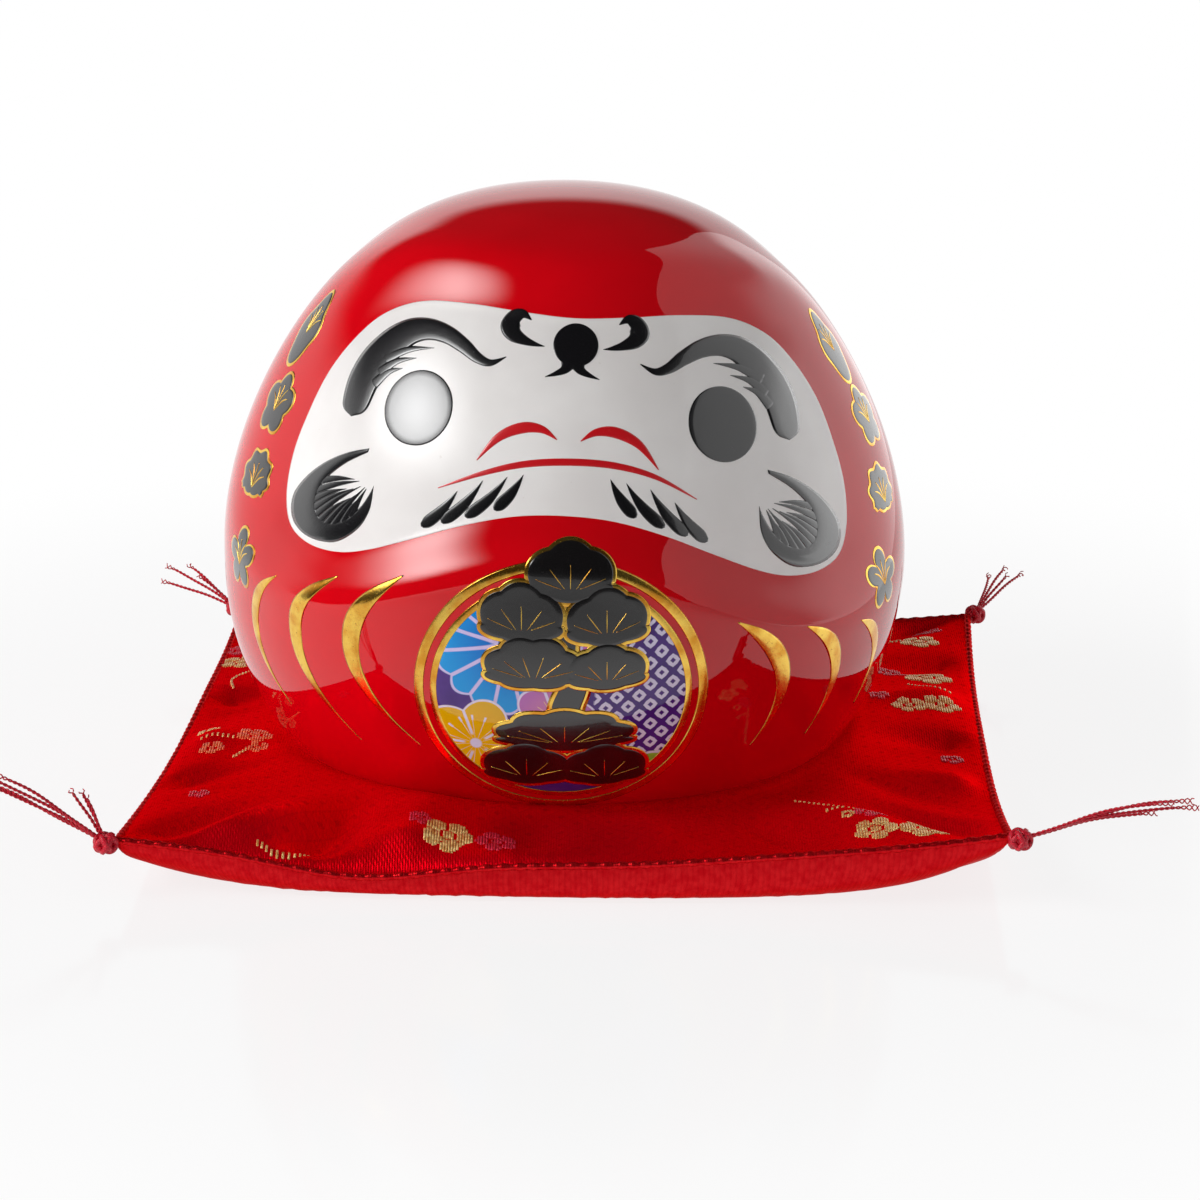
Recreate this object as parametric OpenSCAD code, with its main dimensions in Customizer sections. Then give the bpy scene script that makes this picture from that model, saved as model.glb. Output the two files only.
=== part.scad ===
// Daruma doll coin bank: a hollow glazed-ceramic figure with a rubber base bung, nested in a small square
// brocade cushion with a knotted thread tassel at each corner.
// Frame: +Z up, z = 0 is the table under the cushion, x = y = 0 is the doll's own axis, the face looks along -Y.

/* [Doll] */
// Widest diameter of the doll
doll_d = 118; // [96:1:142]
// Height of the doll from its base to its crown
doll_h = 98; // [82:1:118]
// Height of the widest girth above the base
belly_h = 32.6; // [28:0.2:40]
// Radius of the lower belly's upright curve
belly_arc = 49; // [47:1:60]
// Rounding between belly and base
foot_r = 7; // [6.5:0.5:9]
// Thickness of the ceramic wall
wall_t = 4.5; // [3.5:0.25:5.5]

/* [Face] */
// Height of the face's centre above the base
face_h = 54; // [44:1:60]
// Backward tilt of the face, in degrees
face_tilt = 15; // [5:1:20]
// Clockwise turn of the hand-set face, in degrees
face_turn = 3; // [0:0.5:5]
// Sideways offset of the face's centre
face_shift = 1.5; // [-2:0.5:2]
// Size of the face and its features, as a share of the drawn size
face_scale = 1; // [0.8:0.05:1.15]
// Depth of the face below the robe
face_depth = 2.4; // [1.5:0.1:2.8]

/* [Enamel] */
// Thickness of the white face glaze
glaze_t = 0.4; // [0.3:0.05:0.8]
// Height of the painted and gilded decoration over its ground
enamel_t = 0.25; // [0.2:0.05:0.5]
// Outer width of the belly medallion
medal_w = 47; // [36:1:52]
// Outer height of the belly medallion
medal_tall = 43; // [34:1:45]
// Width of the medallion's gold rim
medal_rim_w = 1.4; // [1:0.1:2]
// Height of the medallion's centre above the base
medal_h = 23.5; // [23:0.5:28]
// Downward tilt of the medallion, in degrees
medal_tilt = 12; // [5:1:16]
// Height of the gold robe stripes
stripe_h = 24; // [18:1:28]
// Size of each painted charm on the sides
charm_d = 10; // [7:0.5:12]

/* [Coin slot and bung] */
// Length of the coin slot
slot_w = 34; // [28:1:40]
// Opening height of the coin slot
slot_h = 5; // [4.8:0.2:7]
// Height of the coin slot above the base
slot_z = 70; // [60:1:76]
// Diameter of the hole in the base
bung_d = 22; // [16:1:28]
// Width of the bung's flange around the hole
flange_w = 3; // [2:0.5:4]
// Thickness of the bung's flange
flange_t = 1.5; // [1:0.25:2]
// Clearance between bung and ceramic, on each side
bung_fit = 0.1; // [0.05:0.05:0.2]
// Diameter of the pull ring moulded inside the bung
pull_d = 9; // [7:0.5:11]

/* [Cushion] */
// Side of the cushion, corner to corner
cushion_w = 142; // [138:1:174]
// How far the middle of each side is pulled in
side_pull = 4.5; // [1:0.5:6]
// Turn of the cushion under the doll, in degrees
cushion_turn = -2.8; // [-6:0.2:6]
// Sideways offset of the cushion from the doll
cushion_x = 3.5; // [-5:0.5:5]
// Height of the doll's base above the table
seat_z = 6; // [4:0.5:12]
// How deep the doll nests below the cushion's top
nest_h = 4; // [2:0.5:6]
// Height of the seam above the table at each corner: front left, front right, back right, back left
seam_corner_z = [9, 12, 9.5, 9]; // [6:0.5:12]
// Height of the seam above the table at mid-side
seam_mid_z = 6; // [5:0.5:9]
// Extra height of the puffed cushion between doll and seam
puff_h = 3; // [0:0.5:6]
// Thickness of the cover cloth
cover_t = 0.8; // [0.5:0.1:1.2]
// Thickness of the filling at the seam
seam_t = 0.4; // [0.3:0.1:0.8]
// Clearance between the doll's enamel and the cushion
nest_clear = 0.3; // [0.2:0.05:0.6]

/* [Tassels] */
// Diameter of the corner knot
knot_d = 4; // [3:0.25:5.5]
// Length of the free threads
thread_l = 24; // [16:1:30]
// Thickness of one bunch of threads
thread_d = 1; // [0.8:0.1:1.4]
// Number of bunches in each tassel
thread_n = 4; // [3:1:5]
// Compass directions of the tassels: front left, front right, back right, back left
tassel_az = [188, -4, 58, 160]; // [-180:1:180]
// Rise of each tassel's middle thread above level
tassel_rise = [36, 20, 22, 26]; // [5:1:50]
// Spread of each tassel's threads
tassel_spread = [26, 7, 22, 20]; // [0:1:35]

/* [Hidden] */
$fn = 72;
doll_r = doll_d / 2;
crown_h = doll_h - belly_h;
crown_lean = 0.32;
crown_blunt = 0.25;
crown_swell = 0.22;
profile_step = 6;
// Centre and end angle of the foot rounding, which touches both the base and the belly's curve
foot_x = doll_r - belly_arc + sqrt(pow(belly_arc - foot_r, 2) - pow(belly_h - foot_r, 2));
foot_a = atan2(belly_h - foot_r, foot_x - doll_r + belly_arc);
big = doll_d;
slot_r = slot_h / 2;
flange_d = bung_d + 2 * flange_w;
floor_t = wall_t + flange_t;
nest_gap = enamel_t + nest_clear;
medal_in_w = medal_w - 2 * medal_rim_w;
medal_in_tall = medal_tall - 2 * medal_rim_w;

// ---- Doll's outline ----

// Point of the crown at s degrees above the girth, moved d inwards along the curve's own normal
function crown_normal(s) = let (n = [cos(s) * crown_h, sin(s) * doll_r]) n / norm(n);
function crown_point(s, d) = [
    doll_r * cos(s) * (1 - crown_lean * pow(sin(s), 2) + crown_blunt * pow(sin(s), 4)),
    belly_h + crown_h * sin(s) * (1 + crown_swell * pow(cos(s), 2))
] - d * crown_normal(s);

// Point of the belly at a degrees below the girth
function belly_point(a, d) = [
    doll_r - belly_arc + (belly_arc - d) * cos(a),
    belly_h - (belly_arc - d) * sin(a)
];

// Point of the foot rounding, from the belly's end down to the flat base
function foot_point(a, d) = [foot_x + (foot_r - d) * cos(a), foot_r - (foot_r - d) * sin(a)];

// Right half of the doll's section, d inside its outer surface
function half_section(d) = concat(
    [[0, doll_h - d]],
    [for (s = [90 - profile_step : -profile_step : 0]) crown_point(s, d)],
    [for (i = [1 : 5]) belly_point(foot_a * i / 5, d)],
    [for (i = [1 : 4]) foot_point(foot_a + (90 - foot_a) * i / 4, d)],
    [[0, d]]
);

module doll_form(d) {
    rotate_extrude() polygon(half_section(d));
}

// Thin layer that follows the doll, from d_in below its surface out to d_out below it
module skin(d_in, d_out) {
    difference() {
        doll_form(d_out);
        doll_form(d_in);
    }
}

// Doll parts are drawn with the base at z = 0 and lifted onto the cushion here
module seated() {
    translate([0, 0, seat_z]) children();
}

// ---- Stencils ----

// Sends a flat drawing on the face plane forwards through the doll's front
module face_stencil() {
    translate([0, 0, face_h])
        rotate([90 - face_tilt, 0, 0])
            linear_extrude(height = big)
                translate([face_shift, 0])
                    rotate(-face_turn)
                        scale(face_scale)
                            children();
}

// Sends a flat drawing level outwards at the given azimuth and height above the base
module side_stencil(azimuth, height) {
    rotate([0, 0, azimuth])
        translate([0, 0, height])
            rotate([90, 0, 0])
                linear_extrude(height = big)
                    children();
}

module oval(w, h) {
    polygon([for (a = [0 : 7.5 : 352.5]) [w / 2 * cos(a), h / 2 * sin(a)]]);
}

module both_sides() {
    children();
    mirror([1, 0]) children();
}

// Smooth curve through points: each span is a Catmull-Rom piece of n steps
function curve_at(a, b, c, d, t) = 0.5 * (2 * b + (c - a) * t + (2 * a - 5 * b + 4 * c - d) * t * t
    + (3 * b - a - 3 * c + d) * t * t * t);
function curve(pts, n) = let (m = len(pts) - 1) concat(
    [for (i = [0 : m - 1], k = [0 : n - 1])
        curve_at(pts[max(i - 1, 0)], pts[i], pts[i + 1], pts[min(i + 2, m)], k / n)],
    [pts[m]]
);

// Brush stroke along a curve: its half-width is w[i] at each given point and varies smoothly between them
function side_of(a, b) = let (t = b - a) [-t[1], t[0]] / norm(t);
module stroke(pts, w, n = 3) {
    c = curve([for (i = [0 : len(pts) - 1]) [pts[i][0], pts[i][1], w[i]]], n);
    m = len(c) - 1;
    xy = [for (p = c) [p[0], p[1]]];
    nrm = [for (i = [0 : m]) side_of(xy[max(i - 1, 0)], xy[min(i + 1, m)])];
    polygon(concat(
        [for (i = [0 : m]) xy[i] + max(c[i][2], 0.12) * nrm[i]],
        [for (i = [m : -1 : 0]) xy[i] - max(c[i][2], 0.12) * nrm[i]]
    ));
}

// ---- Face drawings, in millimetres from the face's centre, right half ----

face_half = [
    [0, 18.5], [9, 19.2], [18, 20.4], [26.5, 20.8], [33, 18.8], [38, 14.6], [42.5, 8.5], [45.8, 1],
    [48, -6], [48.7, -13], [47.5, -18.3], [43.8, -21.4], [38.5, -22.6], [33, -22], [25.5, -19.9],
    [17, -17.3], [8.3, -15.4], [0, -14.9]
];

module face_outline() {
    half = curve(face_half, 2);
    polygon(concat(half, [for (i = [len(half) - 2 : -1 : 1]) [-half[i][0], half[i][1]]]));
}

eye_at = [25.6, 2];
eye_w = 11.6;
eye_h = 13.2;
module eyes_drawing() {
    both_sides()
        translate(eye_at)
            rotate(14)
                oval(eye_w, eye_h);
}

brow_line = [
    [36.7, 1.7], [36, 6], [34.3, 10.5], [31, 14.4], [26.2, 16.6], [21.5, 15.2], [17.3, 12.4],
    [13.7, 10.2], [11.1, 11.2]
];
brow_half_w = [1.5, 2.3, 2.4, 2.5, 2.4, 1.8, 1.2, 0.6, 0.2];
module brows_drawing() {
    both_sides() stroke(brow_line, brow_half_w);
}

nose_at = [0.3, 13.9];
nose_d = 7.2;
nostril_line = [[4.4, 7.7], [2, 8.6], [0.4, 9.8], [0.3, 11.5]];
comma_line = [[5.3, 13.4], [7.5, 14.6], [9.2, 16], [10.6, 17.2]];
module nose_drawing() {
    union() {
        translate(nose_at) circle(d = nose_d);
        both_sides() stroke(nostril_line, [0.3, 0.8, 0.9, 1.2]);
    }
    both_sides() stroke(comma_line, [0.2, 0.7, 1.4, 1.3]);
}

lip_line = [[15, -6.5], [11.5, -2.8], [7.5, -0.8], [4, -0.8], [1.6, -2.4]];
mouth_line = [[-21.5, -11.2], [-14, -8.2], [-7, -6.8], [0, -6.4], [7, -6.8], [14, -8.2], [21.5, -11.2]];
module mouth_drawing() {
    both_sides() stroke(lip_line, [0.2, 0.7, 0.8, 0.6, 0.2]);
    stroke(mouth_line, [0.2, 0.4, 0.5, 0.5, 0.5, 0.4, 0.2]);
}

// Each moustache hair runs from its round head, low and outside, to its thin tail
moustache_hairs = [
    [[12.6, -13.8], [7.9, -8.8]], [[16.3, -15.2], [11.5, -9.6]],
    [[20.1, -16.3], [14.5, -10.3]], [[23.4, -17.5], [17.4, -11.2]]
];
module moustache_drawing() {
    both_sides()
        for (h = moustache_hairs)
            stroke([h[0], h[0] * 0.7 + h[1] * 0.3, h[0] * 0.35 + h[1] * 0.65, h[1]], [0.6, 0.8, 0.4, 0.15]);
}

whisker_line = [
    [34, -5.2], [42, -8.5], [46.6, -13.2], [46.8, -17], [43, -20.1], [37.5, -19.6], [34, -17],
    [32.9, -11.4]
];
whisker_half_w = [0.2, 0.6, 0.8, 0.8, 0.8, 0.7, 0.5, 0.2];
whisker_root = [35.5, -11];
module whiskers_drawing() {
    both_sides() {
        stroke(whisker_line, whisker_half_w);
        for (i = [2 : 5])
            let (tip = whisker_line[i], root = whisker_root * 0.45 + tip * 0.55)
                stroke([tip, tip * 0.5 + root * 0.5, root], [0.6, 0.4, 0.15]);
    }
}

// ---- Body drawings ----

// Crescent that bows away from the belly's middle, drawn on the doll's right-hand side
module crescent(w, bow) {
    h = stripe_h / 2;
    stroke([[-bow, h], [-bow * 0.2, h / 2], [0, 0], [-bow * 0.4, -h / 2], [-bow * 1.2, -h]],
        [0.15, 0.75 * w, w, 0.7 * w, 0.15]);
}
stripe_azimuths = [35, 50, 65];
stripe_half_w = [1.3, 1.1, 0.8];
stripe_mid_h = [25, 24, 25];

charm_azimuths = [78, 79, 76, 69];
charm_heights = [71, 59, 47, 35];
module charm_drawing() {
    // Gourd: two round bulbs under a short stalk
    union() {
        translate([0, -charm_d * 0.16]) circle(d = charm_d * 0.62);
        translate([0, charm_d * 0.2]) circle(d = charm_d * 0.4);
        translate([-charm_d * 0.05, charm_d * 0.3]) square([charm_d * 0.1, charm_d * 0.2]);
    }
}

// ---- Doll pieces ----

module face_pocket(d) {
    difference() {
        intersection() {
            face_stencil() face_outline();
            translate([0, 0, doll_h / 2]) cube([2 * doll_d, 2 * doll_d, doll_h], center = true);
        }
        doll_form(d);
    }
}

module slot_cut() {
    translate([0, 0, slot_z])
        rotate([-90, 0, 0])
            linear_extrude(height = big)
                union() {
                    square([slot_w - slot_h, slot_h], center = true);
                    for (s = [-1, 1]) translate([s * (slot_w - slot_h) / 2, 0]) circle(r = slot_r);
                }
}

module cavity() {
    difference() {
        doll_form(wall_t);
        translate([0, 0, floor_t / 2]) cube([2 * doll_d, 2 * doll_d, floor_t], center = true);
    }
}

module body_shell() {
    color("crimson")
        seated()
            difference() {
                doll_form(0);
                cavity();
                face_pocket(face_depth);
                slot_cut();
                translate([0, 0, -1]) cylinder(d = bung_d, h = floor_t + 2);
                translate([0, 0, -1]) cylinder(d = flange_d, h = flange_t + 1);
            }
}

module face_glaze() {
    color("white")
        seated()
            intersection() {
                skin(face_depth, face_depth - glaze_t);
                face_stencil() face_outline();
            }
}

// One layer of enamel on the face glaze
module face_enamel() {
    seated()
        intersection() {
            skin(face_depth - glaze_t, face_depth - glaze_t - enamel_t);
            face_stencil() children();
        }
}

module eye_enamel() {
    color("black") face_enamel() eyes_drawing();
}

module brow_enamel() {
    color("black") face_enamel() brows_drawing();
}

module nose_enamel() {
    color("black") face_enamel() nose_drawing();
}

module mouth_enamel() {
    color("red") face_enamel() mouth_drawing();
}

module moustache_enamel() {
    color("black") face_enamel() moustache_drawing();
}

module whisker_enamel() {
    color("black") face_enamel() whiskers_drawing();
}

// Sends the medallion's drawing forwards and down through the belly, from half-way inside it
module medal_stencil() {
    translate([0, -doll_r, medal_h])
        rotate([90 + medal_tilt, 0, 0])
            translate([0, 0, -doll_r / 2])
                linear_extrude(height = doll_r)
                    children();
}

module medallion_disc() {
    color("indigo")
        seated()
            intersection() {
                skin(0, -enamel_t);
                medal_stencil() oval(medal_in_w, medal_in_tall);
            }
}

module medallion_rim() {
    color("gold")
        seated()
            intersection() {
                skin(0, -enamel_t);
                medal_stencil()
                    difference() {
                        oval(medal_w, medal_tall);
                        oval(medal_in_w, medal_in_tall);
                    }
            }
}

module robe_stripes() {
    color("gold")
        seated()
            intersection() {
                skin(0, -enamel_t);
                for (i = [0 : len(stripe_azimuths) - 1]) {
                    side_stencil(stripe_azimuths[i], stripe_mid_h[i]) crescent(stripe_half_w[i], 3);
                    side_stencil(-stripe_azimuths[i], stripe_mid_h[i])
                        mirror([1, 0]) crescent(stripe_half_w[i], 3);
                }
            }
}

module side_charms() {
    color("dimgray")
        seated()
            intersection() {
                skin(0, -enamel_t);
                for (i = [0 : len(charm_azimuths) - 1], s = [-1, 1])
                    side_stencil(s * charm_azimuths[i], charm_heights[i]) charm_drawing();
            }
}

module base_bung() {
    plug_d = bung_d - 2 * bung_fit;
    cap_d = flange_d - 2 * bung_fit;
    cup_d = bung_d * 0.72;
    color("dimgray")
        seated()
            difference() {
                union() {
                    translate([0, 0, flange_t * 0.2]) cylinder(d = cap_d, h = flange_t * 0.8 - bung_fit);
                    translate([0, 0, flange_t / 2]) cylinder(d = plug_d, h = floor_t - flange_t / 2);
                }
                difference() {
                    cylinder(d = cup_d, h = floor_t * 0.7);
                    cylinder(d = pull_d, h = floor_t);
                }
                cylinder(d = pull_d * 0.5, h = floor_t * 0.6);
            }
}

// ---- Cushion ----

// Rings of points run from the doll's axis to the seam. The inner rings follow the doll's underside, and the
// outer ones pass from a circle to the cushion's square outline.
seg = 48;
nest_a = asin(min(0.98, (belly_h - nest_h) / (belly_arc + nest_gap)));
nest_rings = concat(
    [[0, -nest_gap]],
    [for (i = [4 : -1 : 0]) foot_point(foot_a + (90 - foot_a) * i / 4, -nest_gap)],
    [belly_point((foot_a + nest_a) / 2, -nest_gap), belly_point(nest_a, -nest_gap)]
);
outer_rings = 8;
ring_n = len(nest_rings) + outer_rings;

function turned(p) = [
    p[0] * cos(cushion_turn) - p[1] * sin(cushion_turn) + cushion_x,
    p[0] * sin(cushion_turn) + p[1] * cos(cushion_turn)
];

// Unit square point in the direction of th, and the outline point with the sides pulled in
function square_dir(th) = [cos(th), sin(th)] / max(abs(cos(th)), abs(sin(th)));
function outline(th) = let (q = square_dir(th), k = side_pull / (cushion_w / 2)) turned([
    cushion_w / 2 * q[0] * (1 - k * (1 - q[1] * q[1])),
    cushion_w / 2 * q[1] * (1 - k * (1 - q[0] * q[0]))
]);
function corner_of(q) = q[1] < 0 ? (q[0] < 0 ? 0 : 1) : (q[0] > 0 ? 2 : 3);
function seam_z(th) = let (q = square_dir(th), c = pow(q[0] * q[1], 2))
    seam_mid_z * (1 - c) + seam_corner_z[corner_of(q)] * c;

function ring_xy(k, th) = k < len(nest_rings)
    ? nest_rings[k][0] * [cos(th), sin(th)]
    : let (w = (k - len(nest_rings) + 1) / outer_rings, r = nest_rings[len(nest_rings) - 1][0])
        (1 - w) * r * [cos(th), sin(th)] + w * outline(th);

// Top and bottom heights of the cushion at ring k, in the direction th
function top_z(k, th) = k < len(nest_rings)
    ? seat_z + nest_rings[k][1]
    : let (w = (k - len(nest_rings) + 1) / outer_rings, a = seat_z + nest_rings[len(nest_rings) - 1][1])
        (1 - w) * a + w * (seam_z(th) + cover_t + seam_t / 2) + puff_h * sin(180 * pow(w, 1.4));
function bottom_z(k, th) = k < len(nest_rings)
    ? 0
    : let (w = (k - len(nest_rings) + 1) / outer_rings, u = max(0, (w - 0.6) / 0.4))
        u * u * (seam_z(th) - cover_t - seam_t / 2);

// Closed sheet between two heights over the cushion's rings
function sheet_points(zs) = concat(
    [[0, 0, zs[0][0]]],
    [for (k = [1 : ring_n - 1], j = [0 : seg - 1])
        let (th = 360 * j / seg, p = ring_xy(k, th)) [p[0], p[1], zs[k][j]]]
);
function at(k, j) = 1 + (k - 1) * seg + j % seg;
function sheet_faces(first) = concat(
    [for (j = [0 : seg - 1]) [first, first + at(1, j), first + at(1, j + 1)]],
    [for (k = [1 : ring_n - 2], j = [0 : seg - 1])
        [first + at(k, j), first + at(k + 1, j), first + at(k + 1, j + 1)]],
    [for (k = [1 : ring_n - 2], j = [0 : seg - 1])
        [first + at(k, j), first + at(k + 1, j + 1), first + at(k, j + 1)]]
);
function flipped(faces) = [for (f = faces) [f[2], f[1], f[0]]];
module sheet(upper, lower) {
    n = 1 + (ring_n - 1) * seg;
    k = ring_n - 1;
    rim = [for (j = [0 : seg - 1]) [at(k, j), n + at(k, j), n + at(k, j + 1)]];
    rim_2 = [for (j = [0 : seg - 1]) [at(k, j), n + at(k, j + 1), at(k, j + 1)]];
    polyhedron(
        points = concat(sheet_points(upper), sheet_points(lower)),
        faces = flipped(concat(sheet_faces(0), flipped(sheet_faces(n)), rim, rim_2)),
        convexity = 6
    );
}
function heights(d_top, d_bottom) = [for (k = [0 : ring_n - 1])
    [for (j = [0 : seg - 1])
        let (th = 360 * j / seg) d_top >= 0 ? top_z(k, th) - d_top : bottom_z(k, th) + d_bottom]];

module cushion_top_cover() {
    color("firebrick") sheet(heights(0, 0), heights(cover_t, 0));
}

module cushion_bottom_cover() {
    color("red") sheet(heights(-1, cover_t), heights(-1, 0));
}

module cushion_filling() {
    color("ivory") sheet(heights(cover_t, 0), heights(-1, cover_t));
}

// ---- Tassels ----

// Corners in order: front left, front right, back right, back left
corner_angles = [225, 315, 45, 135];
function corner_xyz(i) = let (p = outline(corner_angles[i]), q = p - [cushion_x, 0], u = q / norm(q))
    [p[0] + u[0] * knot_d / 2, p[1] + u[1] * knot_d / 2, seam_corner_z[i]];

module knot(i) {
    color("darkred") translate(corner_xyz(i)) sphere(d = knot_d, $fn = 24);
}

// A bunch of threads: a slightly drooping rod in two straight lengths, out of the knot
module bunch(c, az, el, l) {
    d = [cos(az) * cos(el), sin(az) * cos(el), sin(el)];
    start = c + d * (knot_d / 2 + thread_d / 2 + thread_gap);
    middle = start + d * l * 0.5;
    tip = start + d * l - [0, 0, l * thread_droop];
    hull() {
        translate(start) sphere(d = thread_d, $fn = 8);
        translate(middle) sphere(d = thread_d, $fn = 8);
    }
    hull() {
        translate(middle) sphere(d = thread_d, $fn = 8);
        translate(tip) sphere(d = thread_d * 0.7, $fn = 8);
    }
}

// Each bunch has its own share of the spread, in azimuth and in rise, and of the length
thread_gap = 0.05;
thread_droop = 0.05;
fan_az = [-0.6, 0.3, 1, -0.1, 0.6];
fan_rise = [-0.35, 0.1, 0.9, 0.5, -0.6];
fan_length = [1, 0.92, 0.62, 0.8, 0.7];
module threads(i) {
    color("crimson")
        for (k = [0 : thread_n - 1])
            bunch(
                corner_xyz(i),
                tassel_az[i] + tassel_spread[i] * fan_az[k],
                tassel_rise[i] + tassel_spread[i] * fan_rise[k],
                thread_l * fan_length[k]
            );
}

body_shell();
base_bung();
face_glaze();
eye_enamel();
brow_enamel();
nose_enamel();
mouth_enamel();
moustache_enamel();
whisker_enamel();
medallion_disc();
medallion_rim();
robe_stripes();
side_charms();
cushion_top_cover();
cushion_bottom_cover();
cushion_filling();
knot(0);  // tassel_knot_front_left
knot(1);  // tassel_knot_front_right
knot(2);  // tassel_knot_back_right
knot(3);  // tassel_knot_back_left
threads(0);  // tassel_threads_front_left
threads(1);  // tassel_threads_front_right
threads(2);  // tassel_threads_back_right
threads(3);  // tassel_threads_back_left
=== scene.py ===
# Daruma doll on its tasselled brocade cushion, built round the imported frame.
# Shapes are worked out in millimetres and become metres when a mesh is made.
import math
import bpy
import numpy as np
from mathutils import Matrix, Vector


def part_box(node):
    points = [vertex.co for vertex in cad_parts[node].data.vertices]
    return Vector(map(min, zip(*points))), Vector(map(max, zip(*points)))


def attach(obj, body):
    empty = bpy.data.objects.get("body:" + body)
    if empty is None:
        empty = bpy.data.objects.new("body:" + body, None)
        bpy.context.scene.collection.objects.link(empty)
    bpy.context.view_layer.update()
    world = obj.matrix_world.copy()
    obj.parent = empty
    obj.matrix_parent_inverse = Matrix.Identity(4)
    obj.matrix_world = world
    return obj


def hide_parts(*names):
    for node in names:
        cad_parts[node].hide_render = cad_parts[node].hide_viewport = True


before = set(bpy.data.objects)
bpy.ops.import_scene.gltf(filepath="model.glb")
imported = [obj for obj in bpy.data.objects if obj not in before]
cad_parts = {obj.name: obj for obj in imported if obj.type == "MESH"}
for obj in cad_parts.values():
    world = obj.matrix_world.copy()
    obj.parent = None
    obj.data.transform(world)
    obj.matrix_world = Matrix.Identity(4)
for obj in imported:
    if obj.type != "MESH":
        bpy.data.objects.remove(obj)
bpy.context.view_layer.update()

mm = 0.001
seed = np.random.default_rng(11)

cameraSetup = {
    "place": (6.3, -628.3, 198.0),  # millimetres in the frame
    "pitch": 14.91,                 # degrees below level
    "lens": 111.1,
}


def makeCamera(c):
    data = bpy.data.cameras.new("camera")
    data.lens = c["lens"]
    data.sensor_width = 36
    data.clip_start = 0.01
    camera = bpy.data.objects.new("camera", data)
    camera.location = [v * mm for v in c["place"]]
    camera.rotation_euler = (math.radians(90 - c["pitch"]), 0, 0)
    bpy.context.scene.collection.objects.link(camera)
    bpy.context.scene.camera = camera


makeCamera(cameraSetup)
print("camera set")


class Wire:
    # stands for a node's output, so that sums on it add Math nodes
    def __init__(self, tree, socket):
        self.tree = tree
        self.socket = socket

    def put(self, kind, settings=None, inputs=None, out=0):
        node = self.tree.nodes.new(kind)
        for key, value in (settings or {}).items():
            setattr(node, key, value)
        for key, value in (inputs or {}).items():
            if isinstance(value, Wire):
                self.tree.links.new(value.socket, node.inputs[key])
            else:
                node.inputs[key].default_value = value
        return Wire(self.tree, node.outputs[out])

    def sum(self, operation, *others):
        inputs = {i: v for i, v in enumerate(others)}
        return self.put("ShaderNodeMath", {"operation": operation}, inputs)

    def __add__(self, o): return self.sum("ADD", self, o)
    def __radd__(self, o): return self.sum("ADD", o, self)
    def __sub__(self, o): return self.sum("SUBTRACT", self, o)
    def __rsub__(self, o): return self.sum("SUBTRACT", o, self)
    def __mul__(self, o): return self.sum("MULTIPLY", self, o)
    def __truediv__(self, o): return self.sum("DIVIDE", self, o)
    def abs(self): return self.sum("ABSOLUTE", self)
    def sin(self): return self.sum("SINE", self)
    def cos(self): return self.sum("COSINE", self)
    def root(self): return self.sum("SQRT", self)
    def low(self, o): return self.sum("MINIMUM", self, o)
    def high(self, o): return self.sum("MAXIMUM", self, o)
    def angle(self, x): return self.sum("ARCTAN2", self, x)
    def wrap(self, o): return self.sum("FLOORED_MODULO", self, o)

    def fade(self, a, b):  # 0 before a, 1 after b, smooth between
        settings = {"interpolation_type": "SMOOTHSTEP", "clamp": True}
        return self.put("ShaderNodeMapRange", settings, {0: self, 1: a, 2: b, 3: 0.0, 4: 1.0})

    def paint(self, under, over):  # this wire is the mask
        return self.put("ShaderNodeMix", {"data_type": "RGBA"}, {0: self, 6: under, 7: over}, out=2)

    def parts(self):
        node = self.put("ShaderNodeSeparateXYZ", {}, {0: self}).socket.node
        return [Wire(self.tree, s) for s in node.outputs]


def srgb(r, g, b):
    # written colour values, 0 to 255, as the linear values that shaders use
    out = []
    for c in (r / 255, g / 255, b / 255):
        out.append(c / 12.92 if c <= 0.04045 else ((c + 0.055) / 1.055) ** 2.4)
    return (*out, 1.0)


def startMaterial(name, sockets):
    material = bpy.data.materials.new(name)
    material.use_nodes = True
    tree = material.node_tree
    shader = tree.nodes["Principled BSDF"]
    for key, value in sockets.items():
        shader.inputs[key].default_value = value
    return material, Wire(tree, None), shader


def plug(wire, shader, key):
    wire.tree.links.new(wire.socket, shader.inputs[key])


def bumped(wire, shader, height, strength, distance):
    inputs = {"Strength": strength, "Distance": distance * mm, "Height": height}
    plug(wire.put("ShaderNodeBump", {}, inputs), shader, "Normal")


def objectPlace(wire):  # object coordinates in millimetres
    place = wire.put("ShaderNodeTexCoord", {}, out=3)
    return wire.put("ShaderNodeVectorMath", {"operation": "SCALE"}, {0: place, 3: 1000.0})


def noise(wire, place, scale, detail=2.0, rough=0.5, out=0):
    inputs = {"Vector": place, "Scale": scale, "Detail": detail, "Roughness": rough}
    return wire.put("ShaderNodeTexNoise", {}, inputs, out=out)


def smooth01(x):
    x = np.clip(x, 0, 1)
    return x * x * (3 - 2 * x)


def gridFaces(rows, cols, wrapRows=False):
    # four-cornered faces of a grid whose columns run all the way round
    i = np.arange(rows if wrapRows else rows - 1)[:, None]
    j = np.arange(cols)[None, :]
    a = i * cols + j
    b = i * cols + (j + 1) % cols
    c = ((i + 1) % rows) * cols + (j + 1) % cols
    d = ((i + 1) % rows) * cols + j
    return np.stack([a, b, c, d], -1).reshape(-1, 4)


def turnedOut(verts, quads, tris):
    # a closed form whose signed volume is negative gets all its faces turned over
    fan = np.vstack([quads[:, [0, 1, 2]], quads[:, [0, 2, 3]], tris])
    a, b, c = (verts[fan[:, k]] for k in range(3))
    if np.einsum("ij,ij->i", a, np.cross(b, c)).sum() < 0:
        quads, tris = quads[:, ::-1], tris[:, ::-1]
    return verts, quads, tris


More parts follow.
